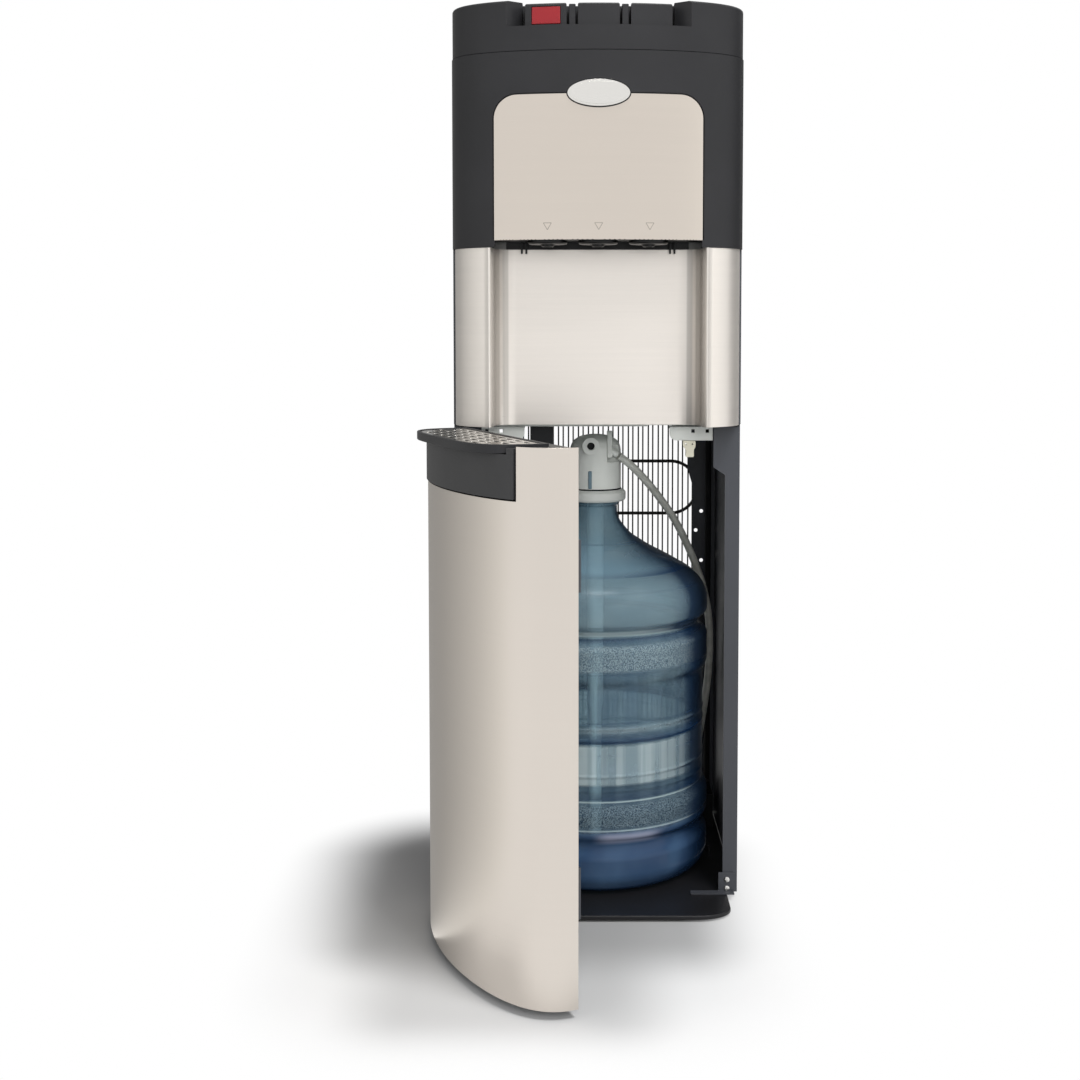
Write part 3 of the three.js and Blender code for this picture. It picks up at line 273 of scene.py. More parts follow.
def prism_y(outline, y0, y1, name):
    """A prism whose outline is drawn in X and Z."""
    n = len(outline)
    verts = [(x, y0, z) for x, z in outline] + [(x, y1, z) for x, z in outline]
    faces = [tuple(range(n)), tuple(range(n, 2 * n))[::-1]]
    faces += [(i, n + i, n + (i + 1) % n, (i + 1) % n) for i in range(n)]
    return outward(build(name, verts, faces))


def lathe(name, profile, x=0.0, y=0.0, sides=64):
    """Turns (radius, height) pairs about an upright axis; points on the axis become poles."""
    rings, verts = [], []
    for radius, height in profile:
        if radius < 1e-6:
            rings.append([len(verts)])
            verts.append((x, y, height))
        else:
            rings.append(list(range(len(verts), len(verts) + sides)))
            verts += [(x + radius * math.cos(2 * math.pi * k / sides),
                       y + radius * math.sin(2 * math.pi * k / sides), height) for k in range(sides)]
    pairs = list(zip(rings, rings[1:]))
    if len(rings[0]) > 1:
        pairs.append((rings[-1], rings[0]))
    faces = []
    for low, high in pairs:
        for k in range(sides):
            a, b = low[k % len(low)], low[(k + 1) % len(low)]
            c, d = high[(k + 1) % len(high)], high[k % len(high)]
            face = tuple(dict.fromkeys((a, b, c, d)))
            if len(face) > 2:
                faces.append(face)
    return outward(build(name, verts, faces))


def rounded(points, radius, steps):
    """A polyline whose inner corners are replaced by small arcs."""
    out = [points[0]]
    for i in range(1, len(points) - 1):
        p, a, b = Vector(points[i]), Vector(points[i - 1]), Vector(points[i + 1])
        back, on = a - p, b - p
        r = min(radius, back.length * 0.45, on.length * 0.45)
        if r < 1e-3:
            out.append(points[i])
            continue
        start, end = p + back.normalized() * r, p + on.normalized() * r
        for k in range(steps + 1):
            t = k / steps
            q = start * (1 - t) ** 2 + p * 2 * t * (1 - t) + end * t ** 2
            out.append(tuple(q))
    return out + [points[-1]]


def draped(name, outline, bow, inset, thickness, holes=(), place=None, steps=120):
    """A sheet with a flat outline in X and Z, bent over the bow and thickened inwards."""
    bm = bmesh.new()
    edges = []
    for loop in (outline, *holes):
        verts = [bm.verts.new((x, 0, z)) for x, z in loop]
        edges += [bm.edges.new((verts[i], verts[(i + 1) % len(verts)])) for i in range(len(verts))]
    bmesh.ops.triangle_fill(bm, use_beauty=True, use_dissolve=False, edges=edges)
    low, high = min(x for x, _ in outline), max(x for x, _ in outline)
    for x in bow_columns(bow, inset, steps):
        if low + 0.2 < x < high - 0.2:
            geometry = list(bm.verts) + list(bm.edges) + list(bm.faces)
            bmesh.ops.bisect_plane(bm, geom=geometry, dist=1e-4, plane_co=(x, 0, 0), plane_no=(1, 0, 0))
    for vert in bm.verts:
        vert.co.y = bow_y(bow, vert.co.x, inset)
    bmesh.ops.remove_doubles(bm, verts=bm.verts, dist=0.02)
    bmesh.ops.dissolve_limit(bm, angle_limit=math.radians(0.02), verts=bm.verts, edges=bm.edges)
    bmesh.ops.recalc_face_normals(bm, faces=bm.faces)
    if sum(f.normal.y * f.calc_area() for f in bm.faces) > 0:
        bmesh.ops.reverse_faces(bm, faces=bm.faces)
    obj = from_bmesh(name, bm)
    obj.data.transform(Matrix.Scale(MM, 4))
    wall = obj.modifiers.new("wall", "SOLIDIFY")
    wall.thickness = thickness * MM
    wall.offset = -1
    wall.use_even_offset = True
    flatten(obj)
    if place:
        obj.data.transform(in_metres(place))
    return outward(obj)


def ribbon(front, back, z0, z1, name):
    """A wall between two lines with as many points each, seen from above."""
    n = len(front)
    verts = [(x, y, z0) for x, y in front] + [(x, y, z0) for x, y in back]
    verts += [(x, y, z1) for x, y in front] + [(x, y, z1) for x, y in back]
    faces = [(0, n, 3 * n, 2 * n), (n - 1, 3 * n - 1, 4 * n - 1, 2 * n - 1)]
    for i in range(n - 1):
        faces += [(i, i + 1, n + i + 1, n + i), (2 * n + i, 3 * n + i, 3 * n + i + 1, 2 * n + i + 1),
                  (i, 2 * n + i, 2 * n + i + 1, i + 1), (n + i, n + i + 1, 3 * n + i + 1, 3 * n + i)]
    return outward(build(name, verts, faces))


def bow_block(bow, inset, back, z0, z1, name, place=None):
    """A solid with a bowed front and a straight back."""
    half = bow["half"] - inset
    curve = [(x, bow_y(bow, x, inset)) for x in bow_columns(bow, inset)]
    curve = [p for p in curve if p[1] < back - 0.05]
    left, right = curve[0][0], curve[-1][0]
    if back > -bow["setback"]:
        left, right = -half, half
    return prism(curve + [(right, back), (left, back)], z0, z1, name, place)


def smooth_path(points, per=6):
    """A centripetal curve through the points, as the source model lays its tubes."""
    pts = [Vector(p) for p in points]
    pts = [pts[0] * 2 - pts[1]] + pts + [pts[-1] * 2 - pts[-2]]
    out = []
    for a, b, c, d in zip(pts, pts[1:], pts[2:], pts[3:]):
        t1 = max((b - a).length ** 0.5, 1e-6)
        t2 = t1 + max((c - b).length ** 0.5, 1e-6)
        t3 = t2 + max((d - c).length ** 0.5, 1e-6)
        for k in range(per):
            t = t1 + (t2 - t1) * k / per
            ab = a * ((t1 - t) / t1) + b * (t / t1)
            bc = b * ((t2 - t) / (t2 - t1)) + c * ((t - t1) / (t2 - t1))
            cd = c * ((t3 - t) / (t3 - t2)) + d * ((t - t2) / (t3 - t2))
            abc = ab * ((t2 - t) / t2) + bc * (t / t2)
            bcd = bc * ((t3 - t) / (t3 - t1)) + cd * ((t - t1) / (t3 - t1))
            out.append(abc * ((t2 - t) / (t2 - t1)) + bcd * ((t - t1) / (t2 - t1)))
    return out + [pts[-2]]


def d_outline(half, back, reach, power):
    """A squared-off half oval with a straight back edge, from its left end to its right end."""
    out = []
    for i in range(73):
        a = math.pi * (1 - i / 72)
        out.append((half * math.copysign(abs(math.cos(a)) ** (2 / power), math.cos(a)),
                    back - reach * max(0.0, math.sin(a)) ** (2 / power)))
    return out


print("shape tools ready")

# %% [markdown]
# ## Shader tools
# A material here is a short formula. `Value` wraps a node's output socket, and adding or multiplying two of
# them adds the Math node that does it. Everything else goes through `node`, which takes a node's type, the
# values or links of its sockets and its settings.

# %% Shader tools
def arithmetic(operation, flip=False):
    """A method of Value that adds one Math node."""
    def method(self, *others):
        values = [*others, self] if flip else [self, *others]
        return self.paint.node("ShaderNodeMath", dict(enumerate(values)), operation=operation)
    return method


class Value:
    """A number or colour that a node puts out."""

    def __init__(self, paint, socket):
        self.paint, self.socket = paint, socket

    __add__ = __radd__ = arithmetic("ADD")
    __sub__ = arithmetic("SUBTRACT")
    __rsub__ = arithmetic("SUBTRACT", flip=True)
    __mul__ = __rmul__ = arithmetic("MULTIPLY")
    __pow__ = arithmetic("POWER")
    abs = arithmetic("ABSOLUTE")

    def clamp(self):
        return self.paint.node("ShaderNodeClamp", {"Value": self})

    def step(self, low, high, smoothly=True):
        kind = "SMOOTHSTEP" if smoothly else "LINEAR"
        inputs = {"Value": self, "From Min": low, "From Max": high}
        return self.paint.node("ShaderNodeMapRange", inputs, interpolation_type=kind)

    def band(self, low, high, soft):
        """1 between low and high, falling to 0 over the width soft on each side."""
        return self.step(low - soft, low + soft) * (1 - self.step(high - soft, high + soft))


class Paint:
    """A new material and the nodes it is made of."""

    def __init__(self, name, **constants):
        self.material = bpy.data.materials.new(name)
        self.material.use_nodes = True
        self.tree = self.material.node_tree
        self.shader = self.tree.nodes["Principled BSDF"]
        self.output = self.tree.nodes["Material Output"]
        self.place = Value(self, self.tree.nodes.new("ShaderNodeTexCoord").outputs["Object"])
        for key, value in constants.items():
            self.set(key.replace("_", " "), value)

    def feed(self, socket, value):
        """Gives a socket a plain value, a colour, or a link from a formula."""
        if isinstance(value, Value):
            self.tree.links.new(value.socket, socket)
        elif isinstance(value, tuple) and socket.type == "RGBA":
            socket.default_value = (*value, 1)
        else:
            socket.default_value = value

    def set(self, key, value):
        self.feed(self.shader.inputs[key], value)

    def node(self, kind, inputs, output=0, **settings):
        made = self.tree.nodes.new(kind)
        for key, value in settings.items():
            setattr(made, key, value)
        for key, value in inputs.items():
            self.feed(made.inputs[key], value)
        return Value(self, made.outputs[output])

    def axes(self):
        made = self.tree.nodes.new("ShaderNodeSeparateXYZ")
        self.tree.links.new(self.place.socket, made.inputs[0])
        return [Value(self, made.outputs[k]) for k in range(3)]

    def stretched(self, x, y, z):
        return self.node("ShaderNodeMapping", {"Vector": self.place, "Scale": (x, y, z)})

    def noise(self, scale, detail, vector=None):
        inputs = {"Vector": vector or self.place, "Scale": scale, "Detail": detail}
        return self.node("ShaderNodeTexNoise", inputs)

    def mix(self, factor, a, b):
        """Mixes two colours. A Mix node in colour mode has them at its inputs 6 and 7."""
        return self.node("ShaderNodeMix", {0: factor, 6: a, 7: b}, output=2, data_type="RGBA")

    def blend(self, share, *shaders):
        """Mixes two shader nodes: the first where share is 0, the second where it is 1."""
        blend = self.tree.nodes.new("ShaderNodeMixShader")
        self.feed(blend.inputs[0], share)
        for index, shader in enumerate(shaders):
            self.tree.links.new(shader.outputs[0], blend.inputs[index + 1])
        self.tree.links.new(blend.outputs[0], self.output.inputs["Surface"])

    def bump(self, height, strength, distance):
        inputs = {"Height": height, "Strength": strength, "Distance": distance}
        self.set("Normal", self.node("ShaderNodeBump", inputs))


def srgb(r, g, b):
    """Screen colour, 0 to 255, as the linear light a shader works in."""
    return tuple(((c / 255 + 0.055) / 1.055) ** 2.4 if c > 10 else c / 3294.6 for c in (r, g, b))


print("shader tools ready")

# %% [markdown]
# ## Plastics
# The black parts are moulded with a fine satin grain. On the real cover the grain shows only as a soft,
# slightly uneven sheen, so a small bump and a little variation in roughness are enough.

# %% Moulded plastics
def darker(colour, share):
    return tuple(c * share for c in colour)


def moulded(name, colour, roughness, grain=0.06, coat=0.0, grain_size=900):
    p = Paint(name, Specular_IOR_Level=0.3)
    cloud = p.noise(14, 4)
    fine = p.noise(grain_size, 2)
    p.set("Base Color", p.mix(cloud.step(0.35, 0.7), darker(colour, 0.86), colour))
    p.set("Roughness", (cloud - 0.5) * 0.06 + (fine - 0.5) * 0.10 + roughness)
    p.set("Coat Weight", coat)
    p.bump(fine, grain, 0.0004)
    return p.material


BLACK = moulded("black_satin_plastic", srgb(38, 38, 40), 0.42)
BLACK_GLOSS = moulded("black_smooth_plastic", srgb(24, 24, 25), 0.24, grain=0.02)
BLACK_INSIDE = moulded("black_inner_plastic", srgb(24, 25, 27), 0.5)
BASE_BLACK = moulded("black_base_plastic", srgb(30, 30, 32), 0.36, grain=0.04)
HANDLE_BLACK = moulded("charcoal_handle_plastic", srgb(58, 58, 59), 0.45)
RED = moulded("red_lock_plastic", srgb(146, 31, 38), 0.3, grain=0.02, coat=0.2)
WHITE = moulded("white_cap_plastic", srgb(222, 225, 220), 0.42, grain=0.02)
CREAM = moulded("cream_hanger_plastic", srgb(236, 232, 212), 0.4, grain=0.02)
RUBBER = moulded("foot_rubber", srgb(26, 26, 26), 0.85, grain=0.2, grain_size=500)
FOAM = moulded("insulating_foam", srgb(226, 224, 214), 0.9, grain=0.5, grain_size=260)
print("plastics:", len(bpy.data.materials))

# %% [markdown]
# ## Painted and plated metal
# The casing is powder coated, which leaves a fine orange peel. Zinc shows faint crystals, and the circuit
# board and the seals get simple finishes of their own.

# %% Metals other than the steel skins
def painted(name, colour, roughness, peel=0.12):
    p = Paint(name, Specular_IOR_Level=0.35)
    peel_noise = p.noise(420, 2)
    wash = p.noise(6, 3)
    p.set("Base Color", p.mix(wash.step(0.3, 0.7), darker(colour, 0.9), colour))
    p.set("Roughness", (wash - 0.5) * 0.08 + roughness)
    p.bump(peel_noise, peel, 0.0005)
    return p.material


def plated(name, colour, roughness):
    p = Paint(name, Metallic=1.0)
    grain = p.noise(160, 2)
    p.set("Base Color", p.mix(grain.step(0.3, 0.7), darker(colour, 0.85), colour))
    p.set("Roughness", (grain - 0.5) * 0.16 + roughness)
    return p.material


CASING = painted("casing_powder_coat", srgb(66, 68, 73), 0.42)
CASING_DARK = painted("dark_powder_coat", srgb(20, 21, 23), 0.45)
ENAMEL = painted("condenser_enamel", srgb(30, 26, 24), 0.38, peel=0.05)
COMPRESSOR = painted("compressor_enamel", srgb(20, 20, 21), 0.3, peel=0.2)
ZINC = plated("zinc_plate", (0.62, 0.62, 0.60), 0.32)
SCREW = plated("screw_steel", (0.78, 0.77, 0.75), 0.22)
BOARD = moulded("green_board", srgb(30, 92, 56), 0.4, grain=0.05)
print("metals ready")

# %% [markdown]
# ## Brushed steel
# The skins are brushed sideways. Fine noises stretched along the brushing lift and lower the roughness and
# tint a little, and a slow wash keeps big panels from looking printed. The roughness itself is plain: a
# stretched highlight needs a direction at every point, and a bent sheet that is turned on a hinge has none
# that stays right.

# %% Brushed steel
def brushed(name, colour, roughness, streak=0.04, metallic=1.0, painted_reflection_bands=()):
    """Each row of painted_reflection_bands, (low, high, depth), darkens an upright band at the left and one at
    the right: a painted dark reflection.
    """
    p = Paint(name, Metallic=metallic)
    broad = p.noise(1.0, 3, p.stretched(5, 5, 240))
    fine = p.noise(1.0, 2, p.stretched(20, 20, 1400))
    wash = p.noise(4, 2)
    lines = broad * 0.6 + fine * 0.4
    tint = p.mix(lines.step(0.25, 0.75, smoothly=False), darker(colour, 1 - streak), colour)
    tint = p.mix(wash.step(0.35, 0.75) * 0.4, tint, darker(colour, 0.94))
    # Painted reflection: each band darkens the colour where a curved corner would mirror something dark.
    for low, high, depth in painted_reflection_bands:
        tint = p.mix(p.axes()[0].abs().band(low, high, 0.0012) * depth, tint, darker(colour, 0.2))
    p.set("Base Color", tint)
    p.set("Roughness", (lines - 0.5) * (streak * 5) + (wash - 0.5) * 0.05 + roughness)
    p.bump(lines, 0.006, 0.0002)
    return p.material


STEEL = brushed("brushed_steel_skin", srgb(218, 209, 199), 0.36)
# The alcove's fillets get painted dark reflections, two upright bands on each side.
STEEL_ALCOVE = brushed("brushed_steel_alcove", srgb(230, 224, 217), 0.34, streak=0.06, metallic=0.7,
                       painted_reflection_bands=((0.1015, 0.1075, 0.42), (0.1110, 0.1185, 0.48)))
STEEL_DOOR = brushed("brushed_steel_door", srgb(223, 215, 206), 0.30, streak=0.018)
GRILLE = brushed("slotted_grille_steel", srgb(196, 193, 188), 0.13, streak=0.03)
TANK_STEEL = brushed("tank_steel", srgb(212, 210, 206), 0.35)
BADGE = brushed("badge_metal", srgb(228, 226, 222), 0.26, streak=0.02)
print("steel ready")

# %% [markdown]
# ## Lights, floor and background
# A big soft lamp stands high in front on the right and a second one lower, because the photograph is
# brighter on that side and its shadow falls to the left and behind. A third, weak one stands at the left.
# The lamps are hidden from metal: what brushed steel shows is the white studio and a few grey or bright
# cards outside the view, which draw the bands along its curved edges.

# %% World
world = bpy.data.worlds.new("studio")
bpy.context.scene.world = world
world.use_nodes = True
sky = world.node_tree
sky.nodes.clear()


def seen_directly(tree):
    """1 for camera, glossy and transmission rays, which show the white studio itself."""
    ray = tree.nodes.new("ShaderNodeLightPath")
    socket = ray.outputs["Is Camera Ray"]
    for other in ("Is Glossy Ray", "Is Transmission Ray"):
        either = tree.nodes.new("ShaderNodeMath")
        either.operation = "MAXIMUM"
        tree.links.new(socket, either.inputs[0])
        tree.links.new(ray.outputs[other], either.inputs[1])
        socket = either.outputs[0]
    return socket


choose = sky.nodes.new("ShaderNodeMixShader")
sky.links.new(seen_directly(sky), choose.inputs[0])
for index, strength in ((1, 0.27), (2, 1.0)):  # the light on the part, and the white that is seen
    background = sky.nodes.new("ShaderNodeBackground")
    background.inputs["Color"].default_value = (1, 1, 1, 1)
    background.inputs["Strength"].default_value = strength
    sky.links.new(background.outputs[0], choose.inputs[index])
out = sky.nodes.new("ShaderNodeOutputWorld")
sky.links.new(choose.outputs[0], out.inputs["Surface"])
bpy.context.scene.view_settings.view_transform = "Standard"

# %% Lamps
def lamp(name, place, aim, size, energy):
    data = bpy.data.lights.new(name, "AREA")
    data.shape = "RECTANGLE"
    data.size, data.size_y = size
    data.energy = energy
    obj = linked(name, data)
    obj.location = place
    obj.rotation_euler = (Vector(aim) - Vector(place)).to_track_quat("-Z", "Y").to_euler()
    obj.visible_glossy = False


lamp("key_softbox", (1.0, -1.35, 2.75), (0, 0.1, 0.3), (1.0, 1.0), 56)
lamp("front_softbox", (0.4, -2.3, 1.25), (0.05, 0.0, 0.45), (1.2, 1.2), 26)
lamp("left_softbox", (-1.4, -1.6, 1.6), (0, 0, 0.5), (0.9, 1.4), 3)
print("lamps:", len(bpy.data.lights))

# %% Floor
floor_paint = Paint("studio_floor", Roughness=0.9, Specular_IOR_Level=0.1)
floor_x, floor_y, _ = floor_paint.axes()


def outside(west, east, front, back):
    """How far a floor point lies outside a rectangle, in metres; 0 inside."""
    across = ((floor_x - (west + east) / 2).abs() - (east - west) / 2).clamp()
    along = ((floor_y - (front + back) / 2).abs() - (back - front) / 2).clamp()
    return (across * across + along * along) ** 0.5


# Painted shadow: the floor's colour turns grey near the cabinet and darker still under the open door.
beyond_cabinet_painted_shadow = outside(-0.23, 0.09, -0.12, 0.14).step(0.0, 0.12)
beyond_door_painted_shadow = outside(-0.19, 0.0, -0.31, -0.1).step(0.0, 0.10)
grey = floor_paint.mix(beyond_cabinet_painted_shadow, (0.50, 0.50, 0.50), (0.93, 0.93, 0.93))
floor_paint.set("Base Color", floor_paint.mix((1 - beyond_door_painted_shadow) * 0.5, grey, (0.36, 0.36, 0.36)))
glow = floor_paint.tree.nodes.new("ShaderNodeEmission")
glow.inputs["Strength"].default_value = 1.0
seen = Value(floor_paint, seen_directly(floor_paint.tree))
share = seen * outside(-0.18, 0.02, -0.22, 0.12).step(0.07, 0.22)
floor_paint.blend(share, floor_paint.shader, glow)


def rectangle(name, width, height, z=0.0):
    corners = [(x * width / 2, y * height / 2, z) for x, y in ((-1, -1), (1, -1), (1, 1), (-1, 1))]
    return build(name, corners, [(0, 1, 2, 3)])


floor = rectangle("studio_floor", 18000, 18000, -0.2)
floor.data.materials.append(floor_paint.material)

# %% Reflecting cards
def card_paint(name):
    """A black paint that glows. Its colour is set afterwards."""
    paint = Paint(name, Roughness=1.0, Specular_IOR_Level=0.0, Emission_Strength=1.0)
    paint.set("Base Color", (0, 0, 0))
    return paint


def reflect_only(obj, paint):
    """Shows a card to metal and gloss alone."""
    obj.data.materials.append(paint.material)
    for kind in ("camera", "diffuse", "shadow", "transmission"):
        setattr(obj, "visible_" + kind, False)


def card(name, centre, facing, width, height, brightness):
    paint = card_paint(name)
    paint.set("Emission Color", (brightness, brightness, brightness * 0.98))
    turn = (Vector(facing) - Vector(centre)).to_track_quat("Z", "Y").to_matrix().to_4x4()
    obj = rectangle(name, width, height)
    obj.data.transform(Matrix.Translation(centre) @ turn)
    reflect_only(obj, paint)


card("back_card", (0.05, 2.4, 0.7), (0.05, 0, 0.7), 3300, 2600, 0.12)
card("right_side_card", (1.95, 1.25, 0.7), (0.1, 1.25, 0.7), 2300, 2600, 0.14)
card("right_front_card", (2.1, -1.25, 0.7), (0.1, 0, 0.7), 900, 2600, 1.25)
card("overhead_card", (0.2, -0.7, 3.0), (0, -0.1, 1.0), 1000, 700, 14.0)

# A curved card stands round the door's left edge, with its own floor, which the foot of the door reflects.
# It is grey behind and brightens towards the front.
SWEEP_X, SWEEP_Y, SWEEP_RADIUS, SWEEP_TOP = -160, -100, 450, 1500
foot_line = arc(SWEEP_X, SWEEP_Y, SWEEP_RADIUS, SWEEP_RADIUS, 98, 214, 29)
n = len(foot_line)
upright = [(i, i + 1, i + 1 + n, i + n) for i in range(n - 1)]
fan = [(i, i + 1, 2 * n) for i in range(n - 1)]
corners = [(x, y, z) for z in (1, SWEEP_TOP) for x, y in foot_line] + [(SWEEP_X, SWEEP_Y, 1)]
sweep = build("left_sweep_card", corners, upright + fan)
sweep_paint = card_paint("left_sweep_card")
sweep_x, sweep_y, _ = sweep_paint.axes()
aside, behind = sweep_x - SWEEP_X * MM, sweep_y - SWEEP_Y * MM
ahead = 1 - (behind * (aside * aside + behind * behind) ** -0.5).step(-0.58, 0.67, smoothly=False)
sweep_paint.set("Emission Color", sweep_paint.mix(ahead, (0.36, 0.36, 0.355), (1.0, 1.0, 0.98)))
reflect_only(sweep, sweep_paint)
print("stage ready")

# %% [markdown]
# ## The hose
# A soft grey hose, 9.5 mm thick, leaves the fitting on the probe cap, lies over the bottle's shoulder,
# drops behind it and goes into the pump at the foot. The photograph shows it from the cap until it passes
# behind the bottle.

# %% Supply hose
HOSE_ROUTE = [(28.4, 102.6, 513.3), (44, 109.5, 500.5), (62, 125, 481), (83, 145, 454), (102, 165, 425),
              (121, 180, 387), (138, 190, 343), (147.5, 196, 300), (150, 200, 262), (149, 206, 222),
              (146, 214, 186), (142, 225, 150), (138.5, 236, 120), (137, 243, 96), (137, 243, 81.5)]
HOSE_THICK = 9.5

hose_line = [p * MM for p in smooth_path(HOSE_ROUTE)]
hose_curve = bpy.data.curves.new("supply_hose_soft", "CURVE")
hose_curve.dimensions = "3D"
hose_curve.bevel_depth = HOSE_THICK / 2 * MM
hose_curve.bevel_resolution = 6
hose_curve.use_fill_caps = True
spline = hose_curve.splines.new("POLY")
spline.points.add(len(hose_line) - 1)
for point, place in zip(spline.points, hose_line):
    point.co = (*place, 1)
spline.use_smooth = True
hose = linked("supply_hose_soft", hose_curve)
hose_paint = Paint("grey_hose", Specular_IOR_Level=0.5)
hose_cloud = hose_paint.noise(60, 3)
hose_tint = hose_paint.mix(hose_cloud.step(0.3, 0.7), srgb(176, 177, 170), srgb(196, 197, 190))
hose_paint.set("Base Color", hose_tint)
hose_paint.set("Roughness", (hose_cloud - 0.5) * 0.15 + 0.32)
hose_curve.materials.append(hose_paint.material)
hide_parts("supply_hose")
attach(hose, "cabinet")

# %% [markdown]
# ## Plain pieces
# Brackets, shelves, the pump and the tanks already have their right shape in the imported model. A copy of
# each node's mesh is merged, its flat faces are joined up, and its edges are rounded a little.

# %% Dressed copies of CAD nodes
def dress(body, rows):
    """Each row holds nodes, their paint, a slot name that is not used, and how far their edges are rounded."""
    for nodes, material, slot, edge in rows:
        for node in nodes.split():
            bm = bmesh.new()
            bm.from_mesh(NODES[node].data)
            bmesh.ops.remove_doubles(bm, verts=bm.verts, dist=1e-5)
            bmesh.ops.dissolve_limit(bm, angle_limit=math.radians(0.5), verts=bm.verts, edges=bm.edges)
            finish(from_bmesh(node + "_piece", bm), body, material, node, edge)
    print("dressed", sum(len(row[0].split()) for row in rows), "plain nodes of the", body)


dress("cabinet", [
    ("mid_shelf", WHITE, "white_plastic", 0.3),
    ("tank_shelf", ZINC, "zinc", 0.3),
    ("ceiling_bracket_left ceiling_bracket_right", WHITE, "white_plastic", 0.4),
    ("interlock_housing", BLACK_INSIDE, "black_plastic", 0.5),
    ("foot_bracket_right hinge_bracket_lower hinge_bracket_upper", CASING, "painted_steel", 0.25),
    ("hinge_pin_lower hinge_pin_upper", ZINC, "zinc", 0.3),
    ("water_pump", BLACK_INSIDE, "black_plastic", 0.8),
    ("delivery_tube", RUBBER, "rubber", 0.3),
    ("rear_panel", CASING_DARK, "dark_steel", 0.0),
    ("compressor", COMPRESSOR, "compressor_paint", 0.6),
    ("hot_tank", TANK_STEEL, "zinc", 0.5),
    ("cold_tank", TANK_STEEL, "brushed_steel", 0.5),
    ("cold_tank_insulation", FOAM, "foam", 0.5),
    ("control_board", BOARD, "circuit_board", 0.1),
    ("cable_gland", RUBBER, "rubber", 0.4),
    ("drain_cap", BLACK, "black_plastic", 0.5),
    ("side_panel_left side_panel_right", CASING, "painted_steel", 0.0),
    ("foot_front_left foot_front_right foot_rear_left foot_rear_right", RUBBER, "rubber", 0.0),
    ("condenser_bracket_lower_right condenser_bracket_upper_right "
     "condenser_bracket_lower_left condenser_bracket_upper_left", CASING_DARK, "dark_steel", 0.2),
])

# %% [markdown]
# ## Condenser
# The cooler's warm side is a black tube that runs back and forth behind the compartment, with thin upright
# wires welded to it in front and behind. Tube and wires both follow a rule, so Geometry Nodes make them: a
# path becomes a tube, and one wire is repeated along a line.

# %% Geometry Nodes tools
class Nodes:
    """A geometry node tree with named inputs, put on an object and turned into a plain mesh."""

    def __init__(self, name, sizes):
        self.tree = bpy.data.node_groups.new(name, "GeometryNodeTree")
        sockets = self.tree.interface
        sockets.new_socket("Geometry", in_out="INPUT", socket_type="NodeSocketGeometry")
        self.ids = {}
        for key, value in sizes.items():
            kind = "NodeSocketInt" if isinstance(value, int) else "NodeSocketFloat"
            socket = sockets.new_socket(key, in_out="INPUT", socket_type=kind)
            self.ids[key] = (socket.identifier, value)
        sockets.new_socket("Geometry", in_out="OUTPUT", socket_type="NodeSocketGeometry")
        self.start = self.tree.nodes.new("NodeGroupInput")
        self.end = self.tree.nodes.new("NodeGroupOutput")

    def size(self, key):
        return self.start.outputs[key]

    def add(self, kind, inputs, **settings):
        made = self.tree.nodes.new(kind)
        for key, value in settings.items():
            setattr(made, key, value)
        for key, value in inputs.items():
            if isinstance(value, bpy.types.NodeSocket):
                self.tree.links.new(value, made.inputs[key])
            else:
                made.inputs[key].default_value = value
        return made.outputs[0]

    def vector(self, x=0.0, y=0.0, z=0.0):
        return self.add("ShaderNodeCombineXYZ", {0: x, 1: y, 2: z})

    def end_with(self, geometry, material):
        real = self.add("GeometryNodeRealizeInstances", {"Geometry": geometry})
        painted_mesh = self.add("GeometryNodeSetMaterial", {"Geometry": real, "Material": material})
        self.tree.links.new(painted_mesh, self.end.inputs[0])

    def make(self, name, mesh=None):
        obj = linked(name, mesh or bpy.data.meshes.new(name))
        run = obj.modifiers.new("nodes", "NODES")
        run.node_group = self.tree
        for identifier, value in self.ids.values():
            run[identifier] = value
        return flatten(obj)


print("geometry node tools ready")

# %% Serpentine tube
ROW_PITCH, ROWS, ROW_FOOT, ROW_HALF, COIL_Y = 71.0, 8, 134.0, 105.0, 296.0
line = [(-ROW_HALF, ROW_FOOT)]
for row in range(ROWS):
    side = 1 if row % 2 == 0 else -1
    z = ROW_FOOT + row * ROW_PITCH
    if row + 1 == ROWS:
        line.append((side * ROW_HALF, z))
    else:
        bend = arc(ROW_HALF, z + ROW_PITCH / 2, ROW_PITCH / 2, ROW_PITCH / 2, -90, 90, 20)
        line += [(side * px, pz) for px, pz in bend]
path_mesh = bpy.data.meshes.new("condenser_path")
path_mesh.from_pydata([(x * MM, COIL_Y * MM, z * MM) for x, z in line],
                      [(i, i + 1) for i in range(len(line) - 1)], [])
TUBE_RADIUS, WIRE_RADIUS = 2.2, 1.0
coil = Nodes("serpentine_tube", {"Radius": TUBE_RADIUS * MM, "Sides": 12})
curve = coil.add("GeometryNodeMeshToCurve", {"Mesh": coil.start.outputs["Geometry"]})
ring = coil.add("GeometryNodeCurvePrimitiveCircle", {"Resolution": coil.size("Sides"),
                                                     "Radius": coil.size("Radius")})
tube = coil.add("GeometryNodeCurveToMesh", {"Curve": curve, "Profile Curve": ring, "Fill Caps": True})
coil.end_with(tube, ENAMEL)
coil_tube = coil.make("condenser_tube", path_mesh)

# %% Upright wires
WIRE_PITCH, WIRES, WIRE_FOOT, WIRE_TOP = 13.5, 20, 122, 643


